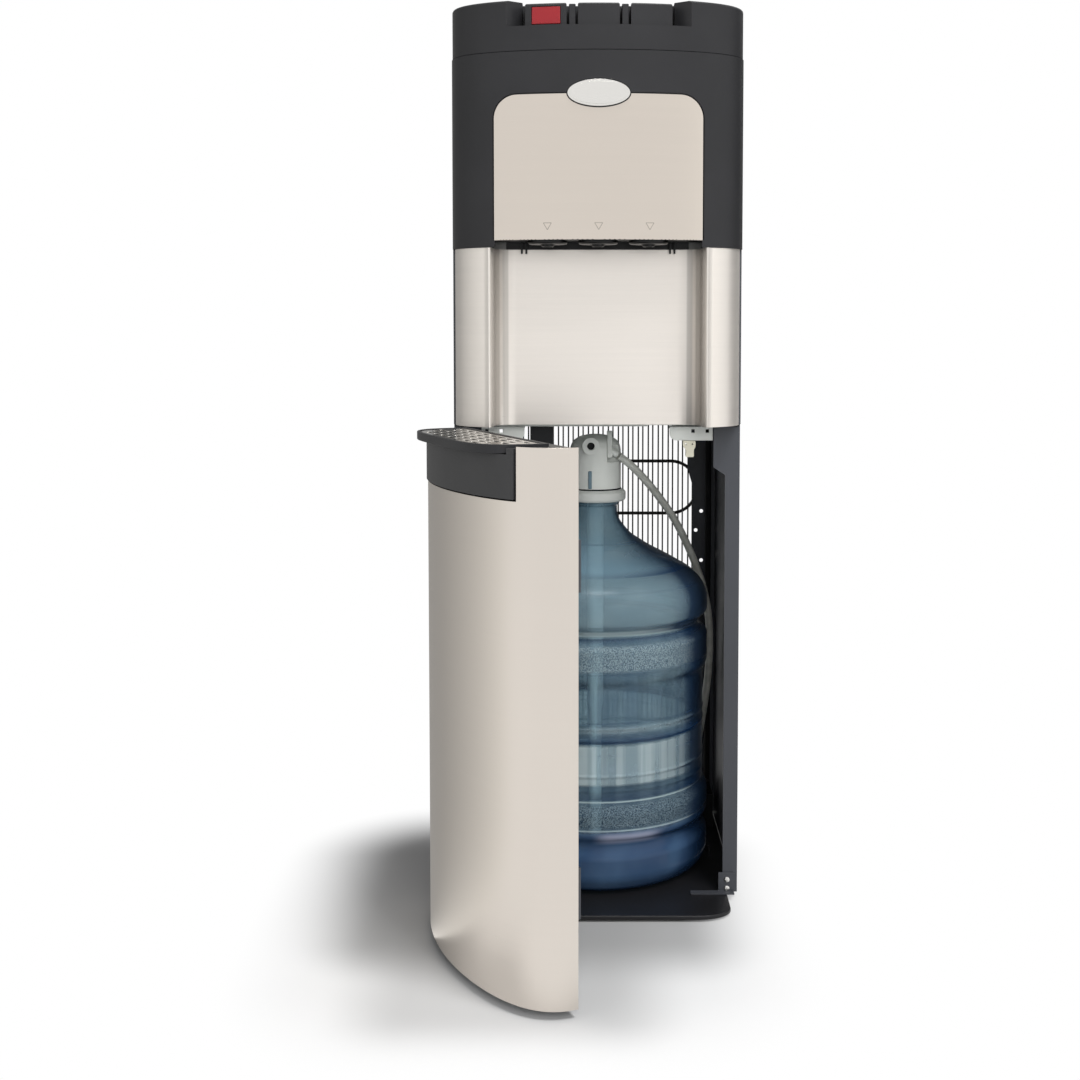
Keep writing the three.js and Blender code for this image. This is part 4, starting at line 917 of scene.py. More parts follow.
def wire_layer(name, y, shift):
    length, pitch = (WIRE_TOP - WIRE_FOOT) * MM, WIRE_PITCH * MM
    rack = Nodes(name, {"Count": WIRES, "Pitch": pitch, "Radius": WIRE_RADIUS * MM, "Length": length})
    first = rack.vector(shift * MM - (WIRES - 1) / 2 * pitch, y * MM, WIRE_FOOT * MM)
    places = rack.add("GeometryNodeMeshLine", {"Count": rack.size("Count"), "Start Location": first,
                                               "Offset": rack.vector(x=rack.size("Pitch"))})
    wire = rack.add("GeometryNodeMeshCylinder", {"Vertices": 8, "Radius": rack.size("Radius"),
                                                 "Depth": rack.size("Length")})
    lifted = rack.add("GeometryNodeTransform", {"Geometry": wire, "Translation": (0, 0, length / 2)})
    wires = rack.add("GeometryNodeInstanceOnPoints", {"Points": places, "Instance": lifted})
    rack.end_with(wires, ENAMEL)
    return rack.make(name)


front_wires = wire_layer("front_wires", COIL_Y - 2.8, 0.0)
back_wires = wire_layer("back_wires", COIL_Y + 2.8, WIRE_PITCH * 0.47)
condenser = joined("condenser_grid", coil_tube, front_wires, back_wires)
finish(condenser, "cabinet", ENAMEL, "condenser")
print("condenser", len(condenser.data.polygons), "faces")

# %% [markdown]
# ## Base
# The base is a black moulded pan with softly rounded front corners. The bottle stands in a low curved
# guide, and a shallow plinth under it reaches down to the floor.

# %% Base pan
right = arc(115, -45, 38, 27, -90, 0, 14) + [(153, 25), (164.5, 35), (164.5, 287.5)]
pan = prism(right + [(-x, y) for x, y in reversed(right)], 2.2, BASE_TOP, "base_plate")
guide_lines = [arc(0, BOTTLE_Y, radius, radius, 180, 0, 60) for radius in (141.9, 144.4)]
guide = ribbon(*guide_lines, 6.5, 19.2, "bottle_guide")
plinth = block(-60, 60, -30, 182, 0, 6.2, "base_plinth")
round_edges(pan, 1.6, 4)
round_edges(guide, 0.8, 3)
round_edges(plinth, 0.8, 3)
base = joined("base_pan_piece", pan, guide, plinth)
finish(base, "cabinet", BASE_BLACK, "base_pan")
print("base done")

# %% [markdown]
# ## Bottle
# The bottle is blown from clear blue plastic: two broad bands that stand proud, a deep waist groove, a
# sloping shoulder and a short neck with a bead. The profile is smoothed and turned as one thin wall.
# Frosted stipple covers the bands. A clear shell of this kind looks darkest at its edges, where one looks
# along the wall.

# %% Bottle shape
BOTTLE_R, WALL, NECK_TOP = 139.4, 1.8, 468.7  # heights here are counted from the bottle's foot


def bead(height, inward, rise, half=2.6):
    """A low rounded rib: three points that stand out from the wall."""
    return [(inward, height - half), (inward - rise, height), (inward, height + half)]


# how far the side lies inside the full radius, at each height from the foot's edge to the end of the shoulder
side_line = [(7, 6), (0, 19), (0, 44), (5.2, 51), (6.4, 57.3), (5, 63), (0, 69), (0, 97), (4.6, 105), (6, 110),
             *bead(123, 6, 1.0), *bead(140, 6, 1.2), *bead(182, 6, 1.0), *bead(196, 6, 1.0), (6, 240), (5, 246),
             (0.8, 253), (0.8, 289), (5, 293), (10.8, 297.5), (11.4, 301), (10.8, 305), (5.5, 311), (1, 316),
             (0, 326), (1.5, 338), (5.5, 347), (11, 355), (21, 364.5), (46, 379), (72, 392.5), (96, 408)]
neck_line = [(30.5, 424), (27.5, 431), (26.8, 437), (26.8, 443.5), (29.5, 445), (29.5, 448.3), (26.8, 449.2),
             (26.8, NECK_TOP)]
under_line = [(0, 7), (88, 6), (104, 0), (122, 0)]
outer_line = rounded(under_line + [(BOTTLE_R - inward, h) for inward, h in side_line] + neck_line, 7, 6)
inner_line = [(r - WALL, h) for r, h in reversed(outer_line) if 14 < h < 428]
inner_line = [(24.9, NECK_TOP), (24.9, 436), *inner_line, (BOTTLE_R - 12, 9.2), (104, 3.2), (88, 8.2), (0, 9.0)]
profile = [(r, h + BOTTLE_FOOT) for r, h in outer_line + inner_line]
bottle = lathe("bottle_shell", profile, 0, BOTTLE_Y, sides=128)

# %% [markdown]
# ## Bottle plastic
# Clear plastic this thick reads as a tint and a darker edge, more than as glass. So each wall is part clear
# and part blue: the edges and the foot are mostly solid and dark, two bands are frosted, and a window
# between them is nearly clear. The lines where ribs and grooves bend the light are dark rings at their own
# heights. Real clear plastic lets nearly all light in, so for shadow rays each wall is mostly clear, and
# the tube inside is lit.

# %% Bottle plastic
CLEAR_TINT = (0.80, 0.88, 0.91)
SHARP_EDGE = 0.0008
p = Paint("clear_blue_bottle", IOR=1.45, Specular_IOR_Level=0.25)
x, y, z = p.axes()


def fade(sharp, soft):
    """1 at the height sharp, falling to 0 at the height soft, above or below it."""
    crisp = z.step(sharp - SHARP_EDGE, sharp + SHARP_EDGE)
    if soft > sharp:
        return crisp * (1 - z.step(sharp, soft))
    return z.step(soft, sharp) * (1 - crisp)


facing = p.node("ShaderNodeLayerWeight", {"Blend": 0.5}, output=1)
far = y.step(0.112, 0.132)  # 1 on the wall behind the tube
upper_frost, lower_frost = z.band(0.2715, 0.3015, 0.003), z.band(0.088, 0.1145, 0.003)
stipple = p.noise(840, 1).step(0.42, 0.58)
frost = (upper_frost + lower_frost).clamp()
# Painted refraction: upright streaks of light and shade.
painted_refraction_streaks = p.noise(1.0, 4, p.stretched(75, 75, 1.2)).step(0.40, 0.62)
cloud = p.noise(9, 3, p.stretched(1, 1, 0.6))
wisps = p.noise(16, 4, p.stretched(1, 1, 3)).step(0.45, 0.7)
shoulder = z.step(0.372, 0.384)
upper = z.step(0.296, 0.316)
foot_blue = 1 - z.step(0.078, 0.09)
window = z.band(0.193, 0.270, 0.004)
# Painted light: the clear block is painted pale, and darker towards its right side.
clear_block_painted_bright = z.band(0.137, 0.184, 0.0025)
# Painted highlight: a lavender glint on the foot, right of the middle.
painted_glint = z.band(0.070, 0.081, 0.004) * x.band(0.004, 0.070, 0.012)
# Painted highlights: pale lines at four heights, along the window, the clear block and the foot.
painted_highlight_lines = (z.band(0.3115, 0.3180, 0.0014) * 0.7 + z.band(0.1168, 0.1182, 0.001) * 0.9
              + z.band(0.0846, 0.0858, 0.001) * 0.8 + z.band(0.1985, 0.2055, 0.003) * 0.3).clamp()
# Painted shade: dark lines where ribs and grooves bend the light, and painted shadow fading away from the waist
# groove, the shoulder ridge and the clear block's edges.
rings = (z.band(0.4075, 0.4085, 0.0012) * 0.5 + fade(0.3765, 0.384) * (x.step(-0.01, 0.11) * 0.6 + 0.35)
         + z.band(0.3605, 0.3615, 0.0018) * 0.4 + z.band(0.3225, 0.3237, 0.0012) * 0.6
         + fade(0.3090, 0.300) * 0.9 + z.band(0.2680, 0.2690, 0.0014) * 0.5
         + z.band(0.2095, 0.2106, 0.0014) * 0.7 + fade(0.1860, 0.2000)
         + z.band(0.1716, 0.1724, 0.0012) * 0.5 + fade(0.1195, 0.1340) * 0.7).clamp()
# Painted shade: the wall is painted dark navy where it faces away, and towards its left and right sides, as a
# clear shell looks at its edges.
side = x.abs().step(0.082, 0.126)
edge = (facing.step(0.30, 0.74) + side * (0.35 + upper * 0.4)).clamp()
plastic = p.mix(upper, srgb(112, 134, 148), srgb(128, 150, 160))
LAYERS = [  # where each layer lies over the ones before it, and its colour
    (shoulder, srgb(132, 161, 176)),
    (wisps * 0.35, srgb(162, 182, 188)),
    (painted_refraction_streaks * (1 - upper) * 0.6, srgb(62, 86, 106)),
    (foot_blue, p.mix(cloud.step(0.4, 0.6), srgb(50, 72, 102), srgb(70, 96, 126))),
    (painted_glint, srgb(150, 156, 178)),
    (clear_block_painted_bright, p.mix(painted_refraction_streaks, srgb(206, 219, 220), srgb(156, 175, 182))),
    (clear_block_painted_bright * x.step(0.05, 0.11) * 0.45, srgb(104, 130, 146)),
    (upper_frost, p.mix(stipple, srgb(82, 106, 124), srgb(158, 174, 178))),
    (lower_frost, p.mix(stipple, srgb(44, 64, 84), srgb(128, 146, 154))),
    (painted_highlight_lines, srgb(196, 212, 212)),
    (edge * 0.92, srgb(20, 42, 70)),
    (rings * 0.9, srgb(24, 50, 82)),
]
for layer, colour in LAYERS:
    plastic = p.mix(layer, plastic, colour)
p.set("Base Color", plastic)
p.set("Roughness", frost * 0.3 + 0.2)
p.bump(stipple * frost, 0.5, 0.0006)
near_share = (upper * 0.14 + frost * 0.30 + foot_blue * 0.60 + edge * 0.45 + rings * 0.4 + painted_highlight_lines * 0.4
              + painted_refraction_streaks * window * 0.25 + (cloud - 0.5) * 0.2 + clear_block_painted_bright * 0.14 - window * 0.06
              + 0.27).clamp()
far_share = (0.9 - window * 0.25 - clear_block_painted_bright * 0.3 + painted_refraction_streaks * window * 0.3
             + painted_refraction_streaks * clear_block_painted_bright * 0.1).clamp()
in_shadow_ray = p.node("ShaderNodeLightPath", {}, output="Is Shadow Ray")
solid_share = (near_share * (1 - far) + far_share * far).clamp() * (1 - in_shadow_ray * 0.8)
clear = p.tree.nodes.new("ShaderNodeBsdfTransparent")
p.feed(clear.inputs["Color"], CLEAR_TINT)
p.blend(solid_share, clear, p.shader)
finish(bottle, "cabinet", p.material, "water_bottle", angle=60)
print("bottle", len(bottle.data.polygons), "faces")

# %% [markdown]
# ## Probe
# The probe is a stiff white cap that sits on the bottle's neck. It carries a long pale tube down into the
# water, a round boss with a dark hole in front, a flat tab beside it and the barbed stub that takes the
# hose.

# %% Probe cap and collar
CAP_FOOT, CAP_TOP = 471.4, 538.9
cap_profile = [(27.4, CAP_FOOT), (31.5, CAP_FOOT), (31.5, CAP_TOP - 22), (30.8, CAP_TOP - 15),
               (27.5, CAP_TOP - 8), (20, CAP_TOP - 3), (10, CAP_TOP - 0.6), (0, CAP_TOP), (0, 500.6),
               (10.4, 500.6), (10.4, 476.6), (27.4, 476.6)]
cap_profile = cap_profile[:2] + rounded(cap_profile[1:8], 7, 5)[1:] + cap_profile[8:]
cap = lathe("cap_body", cap_profile, 0, BOTTLE_Y, sides=96)


def barrel(radius, y0, y1, x, z, sides=40):
    return prism_y(oval(x, z, radius, radius, sides), y0, y1, "barrel")


BOSS_X, BOSS_Z = -6.0, CAP_TOP - 13
cap = carve(cap, barrel(10.5, 88, 114, BOSS_X, BOSS_Z), operation="UNION")
cap = carve(cap, barrel(4.7, 82, 98, BOSS_X, BOSS_Z), block(13.4, 20.6, 87, 108, 505.9, 548),
            block(17, 40.5, 87, 110, 505.4, 525.4))
finish(cap, "cabinet", WHITE, "probe_cap", edge=0.6, segments=3, angle=40)

collar_profile = [(27.4, 456.8), (35.5, 456.8), (37.5, 459.3), (37.5, 467.4), (36.0, 469.0), (32.5, 471.1),
                  (27.4, 471.1)]
collar = lathe("collar_ring", collar_profile, 0, BOTTLE_Y, sides=96)
finish(collar, "cabinet", WHITE, "probe_collar", edge=0.7, segments=3, angle=30)

# %% Seal, boss hole, tube and fitting
SLOT_BLUE = moulded("tube_seen_in_slot", srgb(108, 130, 142), 0.3, grain=0.02)
seal_profile = [(29.0, 471.0), (31.9, 471.0), (31.9, 472.8), (29.0, 472.8)]
seal = lathe("neck_seal", seal_profile, 0, BOTTLE_Y, sides=96)
finish(seal, "cabinet", RUBBER, edge=0.3)
slot_strip = block(-9.3, -4.9, 90.0, 92.0, CAP_FOOT + 2, 495.5, "cap_slot")
round_edges(slot_strip, 1.9, 4)
finish(slot_strip, "cabinet", SLOT_BLUE)
# Painted shade: a black disc at the bottom of the boss's hole stands for the dark inside it.
hole = lathe("boss_hole_painted_shade", [(0, 0), (4.6, 0), (4.6, 1), (0, 1)], sides=40)
facing_front = Matrix.Rotation(math.pi / 2, 4, "X")
hole.data.transform(in_metres(Matrix.Translation((BOSS_X, 97.4, BOSS_Z)) @ facing_front))
finish(hole, "cabinet", BLACK_INSIDE)

tip, step, tube_top = 20.5, 201.5, 500.2
tube_profile = [(0, tip + 5), (6.5, tip), (8, tip), (8, step - 8), (10, step), (10, tube_top), (0, tube_top)]
dip = lathe("dip_tube_piece", tube_profile, 0, BOTTLE_Y, sides=48)
p = Paint("natural_tube", Specular_IOR_Level=0.5)
tube_cloud = p.noise(30, 3, p.stretched(1, 1, 0.2))
p.set("Base Color", p.mix(tube_cloud.step(0.3, 0.7), srgb(220, 230, 230), srgb(238, 244, 243)))
p.set("Roughness", (tube_cloud - 0.5) * 0.2 + 0.35)
finish(dip, "cabinet", p.material, "dip_tube", edge=0.4, angle=30)

tab = block(13.7, 20.3, 96, 107.7, 510.9, 543.9, "fitting_tab")
round_edges(tab, 1.4, 4)
barbs = [(0, -6), (4.2, -6), (4.2, -2), (4.6, -2), (4.2, 0.5), (4.2, 1), (4.6, 1), (4.1, 6), (0, 6)]
stub = lathe("fitting_stub", barbs, sides=32)
aim = Matrix.Rotation(math.pi / 2 + 0.5, 4, "Y")
stub.data.transform(in_metres(Matrix.Translation((22, 102, 517.4)) @ aim))
fitting = joined("hose_fitting_piece", tab, stub)
finish(fitting, "cabinet", WHITE, "hose_fitting")
print("probe done")

# %% [markdown]
# ## Hanger
# A small cream clip hangs under the right bracket. The probe is hung on it while the bottle is changed.

# %% Hanger
top = 539.6
outline = [(99.2, top), (99.2, top - 6), (102.4, top - 10), (102.4, top - 19), (112, top - 19), (112, top - 10),
           (114, top - 7), (114, top)]
hanger = prism_y(rounded(outline + [outline[0]], 1.6, 3)[:-1], 1.4, 7, "hanger_clip")
hanger = carve(hanger, barrel(0.9, 0, 9, 102.8, top - 3.8, 16), barrel(0.9, 0, 9, 110.4, top - 3.8, 16))
finish(hanger, "cabinet", CREAM, "probe_hanger", edge=0.6, segments=3)

# %% [markdown]
# ## Alcove
# One formed sheet makes the back of the alcove, its rounded inner corners and the two front columns. It is
# drawn as a path seen from above and given its thickness, so the corner between column and side wall stays
# crisp.

# %% Alcove sheet
def alcove_path(offset):
    half = 162.3
    bow = dict(half=half, setback=CABINET["setback"])
    wall_x, back = 116.0 + offset, -15 + offset
    right = [(x, back) for x in range(0, 90, 10)] + arc(91, -40, 25 + offset, 25 + offset, 90, 0, 18)
    corner_y = bow_y(bow, 119.3)
    # the forward corner turns outwards on a small radius
    right += [(wall_x + 0.15 * k, -40 + (corner_y + 46) * k / 6) for k in range(1, 6)]
    right += arc(121.9, corner_y + 2, 3 - offset, 3 - offset, 185, 262, 8)
    xs = [x for x in bow_columns(bow, 0, 160) if x > 124]
    right += [(min(x, half) - (offset * 0.6 if x > half - 1 else 0), bow_y(bow, x) + offset) for x in xs]
    return [(-x, y) for x, y in reversed(right[1:])] + right


outer_path, inner_path = alcove_path(0.0), alcove_path(1.0)
alcove = ribbon(outer_path, inner_path, ALCOVE_FOOT, ALCOVE_TOP, "alcove_sheet")
finish(alcove, "cabinet", STEEL_ALCOVE, "alcove_panel", edge=0.3, angle=50)
print("alcove", len(outer_path), "columns")

# %% [markdown]
# ## Fascia
# The black fascia follows the bow and holds an inset steel plate with rounded upper corners. A bare oval
# badge lies over the plate's top edge, and three small triangles are pressed into it over the nozzles.

# %% Fascia body
def plate_outline(grow):
    half, top, foot, r = 114.8 + grow, 924.0 + grow, 766.5 - grow, 25 + grow
    corners = arc(half - r, top - r, r, r, 0, 90, 14) + arc(-half + r, top - r, r, r, 90, 180, 14)
    return [(-half, foot), (half, foot)] + corners


half, gap, gap_top = CABINET["half"], 114.4, 766.4
fascia_outline = [(-half, FASCIA_FOOT), (-gap, FASCIA_FOOT), (-gap, gap_top), (gap, gap_top),
                  (gap, FASCIA_FOOT), (half, FASCIA_FOOT), (half, FASCIA_TOP), (-half, FASCIA_TOP)]
plate_window = [(x, max(z, 766.9)) for x, z in plate_outline(1.5)]
rim = draped("fascia_front", fascia_outline, CABINET, 0, 2.0, holes=[plate_window])
round_edges(rim, 0.7, 3, 50)
lining = draped("fascia_lining", fascia_outline, CABINET, 1.9, 1.5)
ends = [block(x0, x0 + 3.2, -5.2, -0.3, FASCIA_FOOT, FASCIA_TOP) for x0 in (-half, half - 3.2)]
fascia = joined("fascia_piece", rim, lining, *ends)
finish(fascia, "cabinet", BLACK, "upper_fascia", angle=40)

# %% Steel plate with pressed triangles
plate = draped("fascia_plate_skin", plate_outline(0), CABINET, 0.0, 1.2, steps=140)
finish(plate, "cabinet", STEEL, "fascia_plate", edge=0.35, angle=40)


def triangle_mark(centre_x):
    """Three narrow strips along the sides of a small triangle."""
    strips, wide, centre_z = [], 0.9, 781
    corners = [Vector(corner) for corner in ((-4.4, 3.6), (4.4, 3.6), (0, -3.9))]
    for a, b in zip(corners, corners[1:] + corners[:1]):
        d = b - a
        n = Vector((-d.y, d.x)).normalized() * wide / 2
        strip = [(centre_x + q.x, centre_z + q.y) for q in (a - n, b - n, b + n, a + n)]
        strips.append(draped("mark", strip, CABINET, -0.12, 0.25, steps=60))
    return strips


# Painted shade: the pressed lines are coloured darker than the plate, for the shade in their grooves.
groove_painted_shade = Paint("pressed_groove_painted_shade", Metallic=0.6)
groove_cloud = groove_painted_shade.noise(300, 2)
groove_painted_shade.set("Base Color", groove_painted_shade.mix(groove_cloud, srgb(150, 142, 134), srgb(178, 170, 160)))
groove_painted_shade.set("Roughness", groove_cloud * 0.2 + 0.4)
marks = joined("outlet_marks", *[strip for cx in NOZZLE_XS for strip in triangle_mark(cx)])
finish(marks, "cabinet", groove_painted_shade.material)

# %% Badge, left bare
def badge_outline(grow):
    return oval(0, 924.5, 34 + grow, 14.5 + grow, 64)


badge_rim = draped("badge_rim", badge_outline(0), CABINET, -2.2, 2.0)
round_edges(badge_rim, 0.9, 3)
badge_face = draped("badge_face", badge_outline(-2.4), CABINET, -2.9, 1.6)
round_edges(badge_face, 0.9, 4)
badge = joined("oval_badge_piece", badge_rim, badge_face)
finish(badge, "cabinet", BADGE, "oval_badge")
# Painted shadow: a dark sheet just beyond the badge's edge draws the shadow gap round it.
shadow_line = draped("badge_painted_shadow", badge_outline(1.3), CABINET, -0.35, 0.6)
finish(shadow_line, "cabinet", BLACK_GLOSS)
print("fascia done")

# %% [markdown]
# ## Outlets
# Under the plate a dark carrier holds three nozzles. Two pairs of small prongs hang from it.

# %% Nozzle carrier
CARRIER_FOOT, CARRIER_TOP, SKIRT_TOP = 767.1, 770.1, 769.1
# Painted shade: the outlet black is darker than the other blacks, for the shadow under the plate.
OUTLET_PAINTED_SHADE = moulded("black_outlet_plastic_painted_shade", srgb(17, 17, 18), 0.3, grain=0.02)

carrier = bow_block(CABINET, 3.5, -11, CARRIER_FOOT, CARRIER_TOP, "carrier_plate")
carrier = carve(carrier, block(-134.8, 134.8, -120, 0, 760, 775), operation="INTERSECT")
ring_profile = [(0, 762.6), (20.6, 762.6), (22, 764.0), (22, 767.6), (0, 767.6)]
hole_profile = [(0, 755), (8.8, 755), (8.8, 780), (0, 780)]
rings = [lathe("outlet_ring", ring_profile, cx, NOZZLE_Y, 72) for cx in NOZZLE_XS]
carrier = carve(carrier, *rings, operation="UNION")
holes = [lathe("outlet_hole", hole_profile, cx, NOZZLE_Y, 48) for cx in NOZZLE_XS]
carrier = round_edges(carve(carrier, *holes), 0.4, 2)
skirt = block(-104, 104, -13, -11, 759, SKIRT_TOP, "carrier_skirt")
prongs = [round_edges(block(px, px + 2.2, -21, -18, 753.7, SKIRT_TOP, "prong"), 0.5, 2)
          for px in (-87, -82, 81, 86)]
carrier = joined("nozzle_carrier_piece", carrier, skirt, *prongs)
finish(carrier, "cabinet", OUTLET_PAINTED_SHADE, "nozzle_carrier")

spout_profile = [(4.5, 760.0), (6.3, 760.0), (8.5, 764.0), (8.5, 770.4), (11.5, 770.4), (11.5, 772.5),
                 (6.5, 776.1), (4.5, 776.1)]
for node, cx in zip(("nozzle_hot", "nozzle_cold", "nozzle_room"), NOZZLE_XS):
    spout = lathe(node + "_spout", spout_profile, cx, NOZZLE_Y, sides=40)
    finish(spout, "cabinet", OUTLET_PAINTED_SHADE, node, edge=0.5, segments=3, angle=30)
print("outlets done")

# %% [markdown]
# ## Top cover
# The cover is one black moulding with a recess in front for the paddles. The recess narrows inwards on two
# angled cheeks. The body is built from stacked outlines, so the top edge has its real 3 mm radius, and the
# recess is then cut out. The recess keeps sharp edges, because rounding them would bend the shading of the
# front.

# %% Cover body
def cover_ring(inset, z):
    half, back = CABINET["half"] - inset, 287.99 - inset
    columns = bow_columns(CABINET, inset, 96, extra=(-RECESS_HALF, RECESS_HALF))
    return [(x, bow_y(CABINET, x, inset), z) for x in columns] + [(half, back, z), (-half, back, z)]


def stacked(name, rings):
    """A solid through outlines with as many points each, from the lowest to the highest."""
    n = len(rings[0])
    verts = [v for ring in rings for v in ring]
    faces = [tuple(range(n))[::-1], tuple(range((len(rings) - 1) * n, len(rings) * n))]
    for k in range(len(rings) - 1):
        for i in range(n):
            j = (i + 1) % n
            faces.append((k * n + i, k * n + j, (k + 1) * n + j, (k + 1) * n + i))
    return outward(build(name, verts, faces))


top_edge = [(3 - across, 3 - up) for across, up in arc(0, 0, 3, 3, 0, 90, 6)]
shell = stacked("cover_body", [cover_ring(1.3, COVER_FOOT), cover_ring(0.8, COVER_FOOT + 0.5)] +
                [cover_ring(0.8 + inward, COVER_TOP - down) for inward, down in top_edge])
LIP, FLOOR_Z = 998.0, 991.5


def recess(grow, z0, z1, name):
    """The space for the paddles, open to the front and narrower behind."""
    wide, narrow = RECESS_HALF + grow, 83.4 + grow
    right = [(wide, -125), (wide, bow_y(CABINET, RECESS_HALF)), (narrow, -58), (narrow, -42 + grow)]
    return prism([(-x, y) for x, y in reversed(right)] + right, z0, z1, name)


# the space under the cover, with the block left standing that the recess is cut from
hollow = stacked("cover_hollow", [cover_ring(3.8, COVER_FOOT - 2), cover_ring(3.8, COVER_TOP - 3)])
hollow = carve(hollow, recess(3, FLOOR_Z - 3, COVER_TOP + 3, "recess_block"))
limit = bow_block(CABINET, 3.8, 0, FLOOR_Z - 2, COVER_TOP + 9, "pocket_limit")
pocket = carve(recess(0, FLOOR_Z, COVER_TOP + 5, "pocket"), limit, operation="INTERSECT")
pocket = carve(pocket, recess(0, LIP, COVER_TOP + 5, "above_lip"), operation="UNION")
shell = carve(shell, hollow, pocket)
spacers = []
for cx in (-28.8, 28.8):
    spacer = block(cx - 3.7, cx + 3.7, bow_y(CABINET, cx) + 6, -41, FLOOR_Z - 1, COVER_TOP - 5, "spacer")
    spacers.append(round_edges(spacer, 1.0, 3))
cover = joined("top_cover_piece", shell, *spacers)
finish(cover, "cabinet", BLACK, "top_cover", angle=30)

# %% [markdown]
# ## Paddles
# Three paddles with curved fronts stand in the recess. The left one carries the red child lock.

# %% Paddles and lock
PADDLE_X, PADDLE_HALF, PADDLE_INSET, PADDLE_BACK = 57.6, 22.75, 4.3, -42.4
PADDLE_FOOT, PADDLE_TOP = 995.5, 1022.0
LOCK_X, LOCK_HALF, LOCK_FOOT, LOCK_TOP = -57.4, 15.5, 999.5, 1018.1


# heights of a paddle's outlines and how far each one shrinks
PADDLE_STEPS = [(PADDLE_FOOT, 0.6), (PADDLE_FOOT + 0.6, 0), (PADDLE_TOP - 2.4, 0), (PADDLE_TOP - 1.1, 0.35),
                (PADDLE_TOP - 0.3, 1.1), (PADDLE_TOP, 2.2)]


def paddle(name, cx):
    rings = []
    for z, shrink in PADDLE_STEPS:
        half, back = PADDLE_HALF - shrink, PADDLE_BACK - shrink * 0.3
        xs = [cx - half + 2 * half * i / 24 for i in range(25)]
        front = [(x, bow_y(CABINET, x, PADDLE_INSET) + shrink, z) for x in xs]
        rings.append(front + [(xs[-1], back, z), (xs[0], back, z)])
    return stacked(name, rings)


def lock_body(name, inset, back, grow=0.0):
    body = bow_block(CABINET, inset, back, LOCK_FOOT - grow, LOCK_TOP + grow, name)
    keep = block(LOCK_X - LOCK_HALF - grow, LOCK_X + LOCK_HALF + grow, -130, 0, 990, 1024)
    return carve(body, keep, operation="INTERSECT")


hot = carve(paddle("hot_paddle_piece", -PADDLE_X), lock_body("lock_window", PADDLE_INSET - 2.2, -56.5, 0.35))
finish(hot, "hot_paddle", BLACK, "hot_paddle", edge=0.5, angle=40)
for node, cx in (("cold_paddle", 0.0), ("room_paddle", PADDLE_X)):
    finish(paddle(node + "_piece", cx), node, BLACK, node, edge=0.5, angle=40)
lock = lock_body("child_lock_piece", PADDLE_INSET - 0.2, -60.0)
finish(lock, "child_lock", RED, "child_lock", edge=0.8, segments=3, angle=40)
print("controls done")

# %% [markdown]
# ## Door
# The door is drawn closed and turned on its hinge. Its steel skin wraps the bow with a notch at the top for
# the black handle plate, a black liner stands behind it, and a moulded cap closes its top and carries the
# drip tray.

# %% Door skin and liner
HANDLE_HALF, HANDLE_FOOT, HANDLE_GAP = 131.0, 506.3, 1.6
LIP_UP = 1.6  # the skin's folded edge stands this far above the cap, clear of the hinge
half, lip = DOOR["half"], DOOR_TOP + LIP_UP
notch, notch_foot = HANDLE_HALF + HANDLE_GAP, HANDLE_FOOT - HANDLE_GAP
skin_outline = [(-half, DOOR_FOOT), (half, DOOR_FOOT), (half, lip), (notch, lip), (notch, notch_foot),
                (-notch, notch_foot), (-notch, DOOR_TOP), (-half, DOOR_TOP)]
skin = draped("door_skin_sheet", skin_outline, DOOR, 0, 1.0, place=DOOR_OPEN, steps=160)
finish(skin, "door", STEEL_DOOR, "door_skin", edge=0.3, angle=50)
dress("door", [
    ("door_liner", BLACK_INSIDE, "black_plastic", 0.0),
    ("door_top_cap", BLACK, "black_plastic", 0.35),
    ("door_catch_upper door_catch_lower", CASING, "zinc", 0.4),
])

# %% Handle plate
dip_half, dip_foot = 123.6, 549.5
handle_outline = [(-HANDLE_HALF, HANDLE_FOOT), (HANDLE_HALF, HANDLE_FOOT), (HANDLE_HALF, DOOR_TOP),
                  (dip_half, DOOR_TOP), (dip_half, dip_foot), (-dip_half, dip_foot), (-dip_half, DOOR_TOP),
                  (-HANDLE_HALF, DOOR_TOP)]
handle = draped("handle_plate_piece", handle_outline, DOOR, -1.5, 3.0, place=DOOR_OPEN)
finish(handle, "door", HANDLE_BLACK, "handle_plate", edge=0.7, segments=3, angle=50)
print("door done")

# %% [markdown]
# ## Drip tray
# The tray hangs by a wide rim in the door's top and overhangs the front. Its rim is a squared-off half
# oval. A slotted steel grille lies in it, a hair below the rim. The slots are one cutter, repeated by
# Geometry Nodes on staggered rows and cut out together.

# %% Tray body
TRAY_POWER = 4.0
rim = prism(d_outline(123, -20, 74, TRAY_POWER), RIM_FOOT, RIM_TOP, "tray_rim", DOOR_OPEN)
tub = bow_block(DOOR, 2.4, -20, 540.8, RIM_FOOT + 1, "tray_tub", DOOR_OPEN)
tub = carve(tub, block(-117, 117, -130, 0, 530, 560, "keep", DOOR_OPEN), operation="INTERSECT")
tray = carve(rim, tub, operation="UNION")
seat = prism(d_outline(118.8, -24.2, 65.6, TRAY_POWER), RIM_TOP - 2.5, RIM_TOP + 4, "seat", DOOR_OPEN)
well = prism(d_outline(114.7, -28.3, 57.4, TRAY_POWER), 543.3, RIM_TOP + 4, "well", DOOR_OPEN)
limit = bow_block(DOOR, 4.9, -28.3, 543, RIM_TOP + 6, "well_limit", DOOR_OPEN)
tray = carve(tray, seat, carve(well, limit, operation="INTERSECT"))
finish(tray, "drip_tray", BLACK, "drip_tray", edge=0.8, segments=3, angle=40)

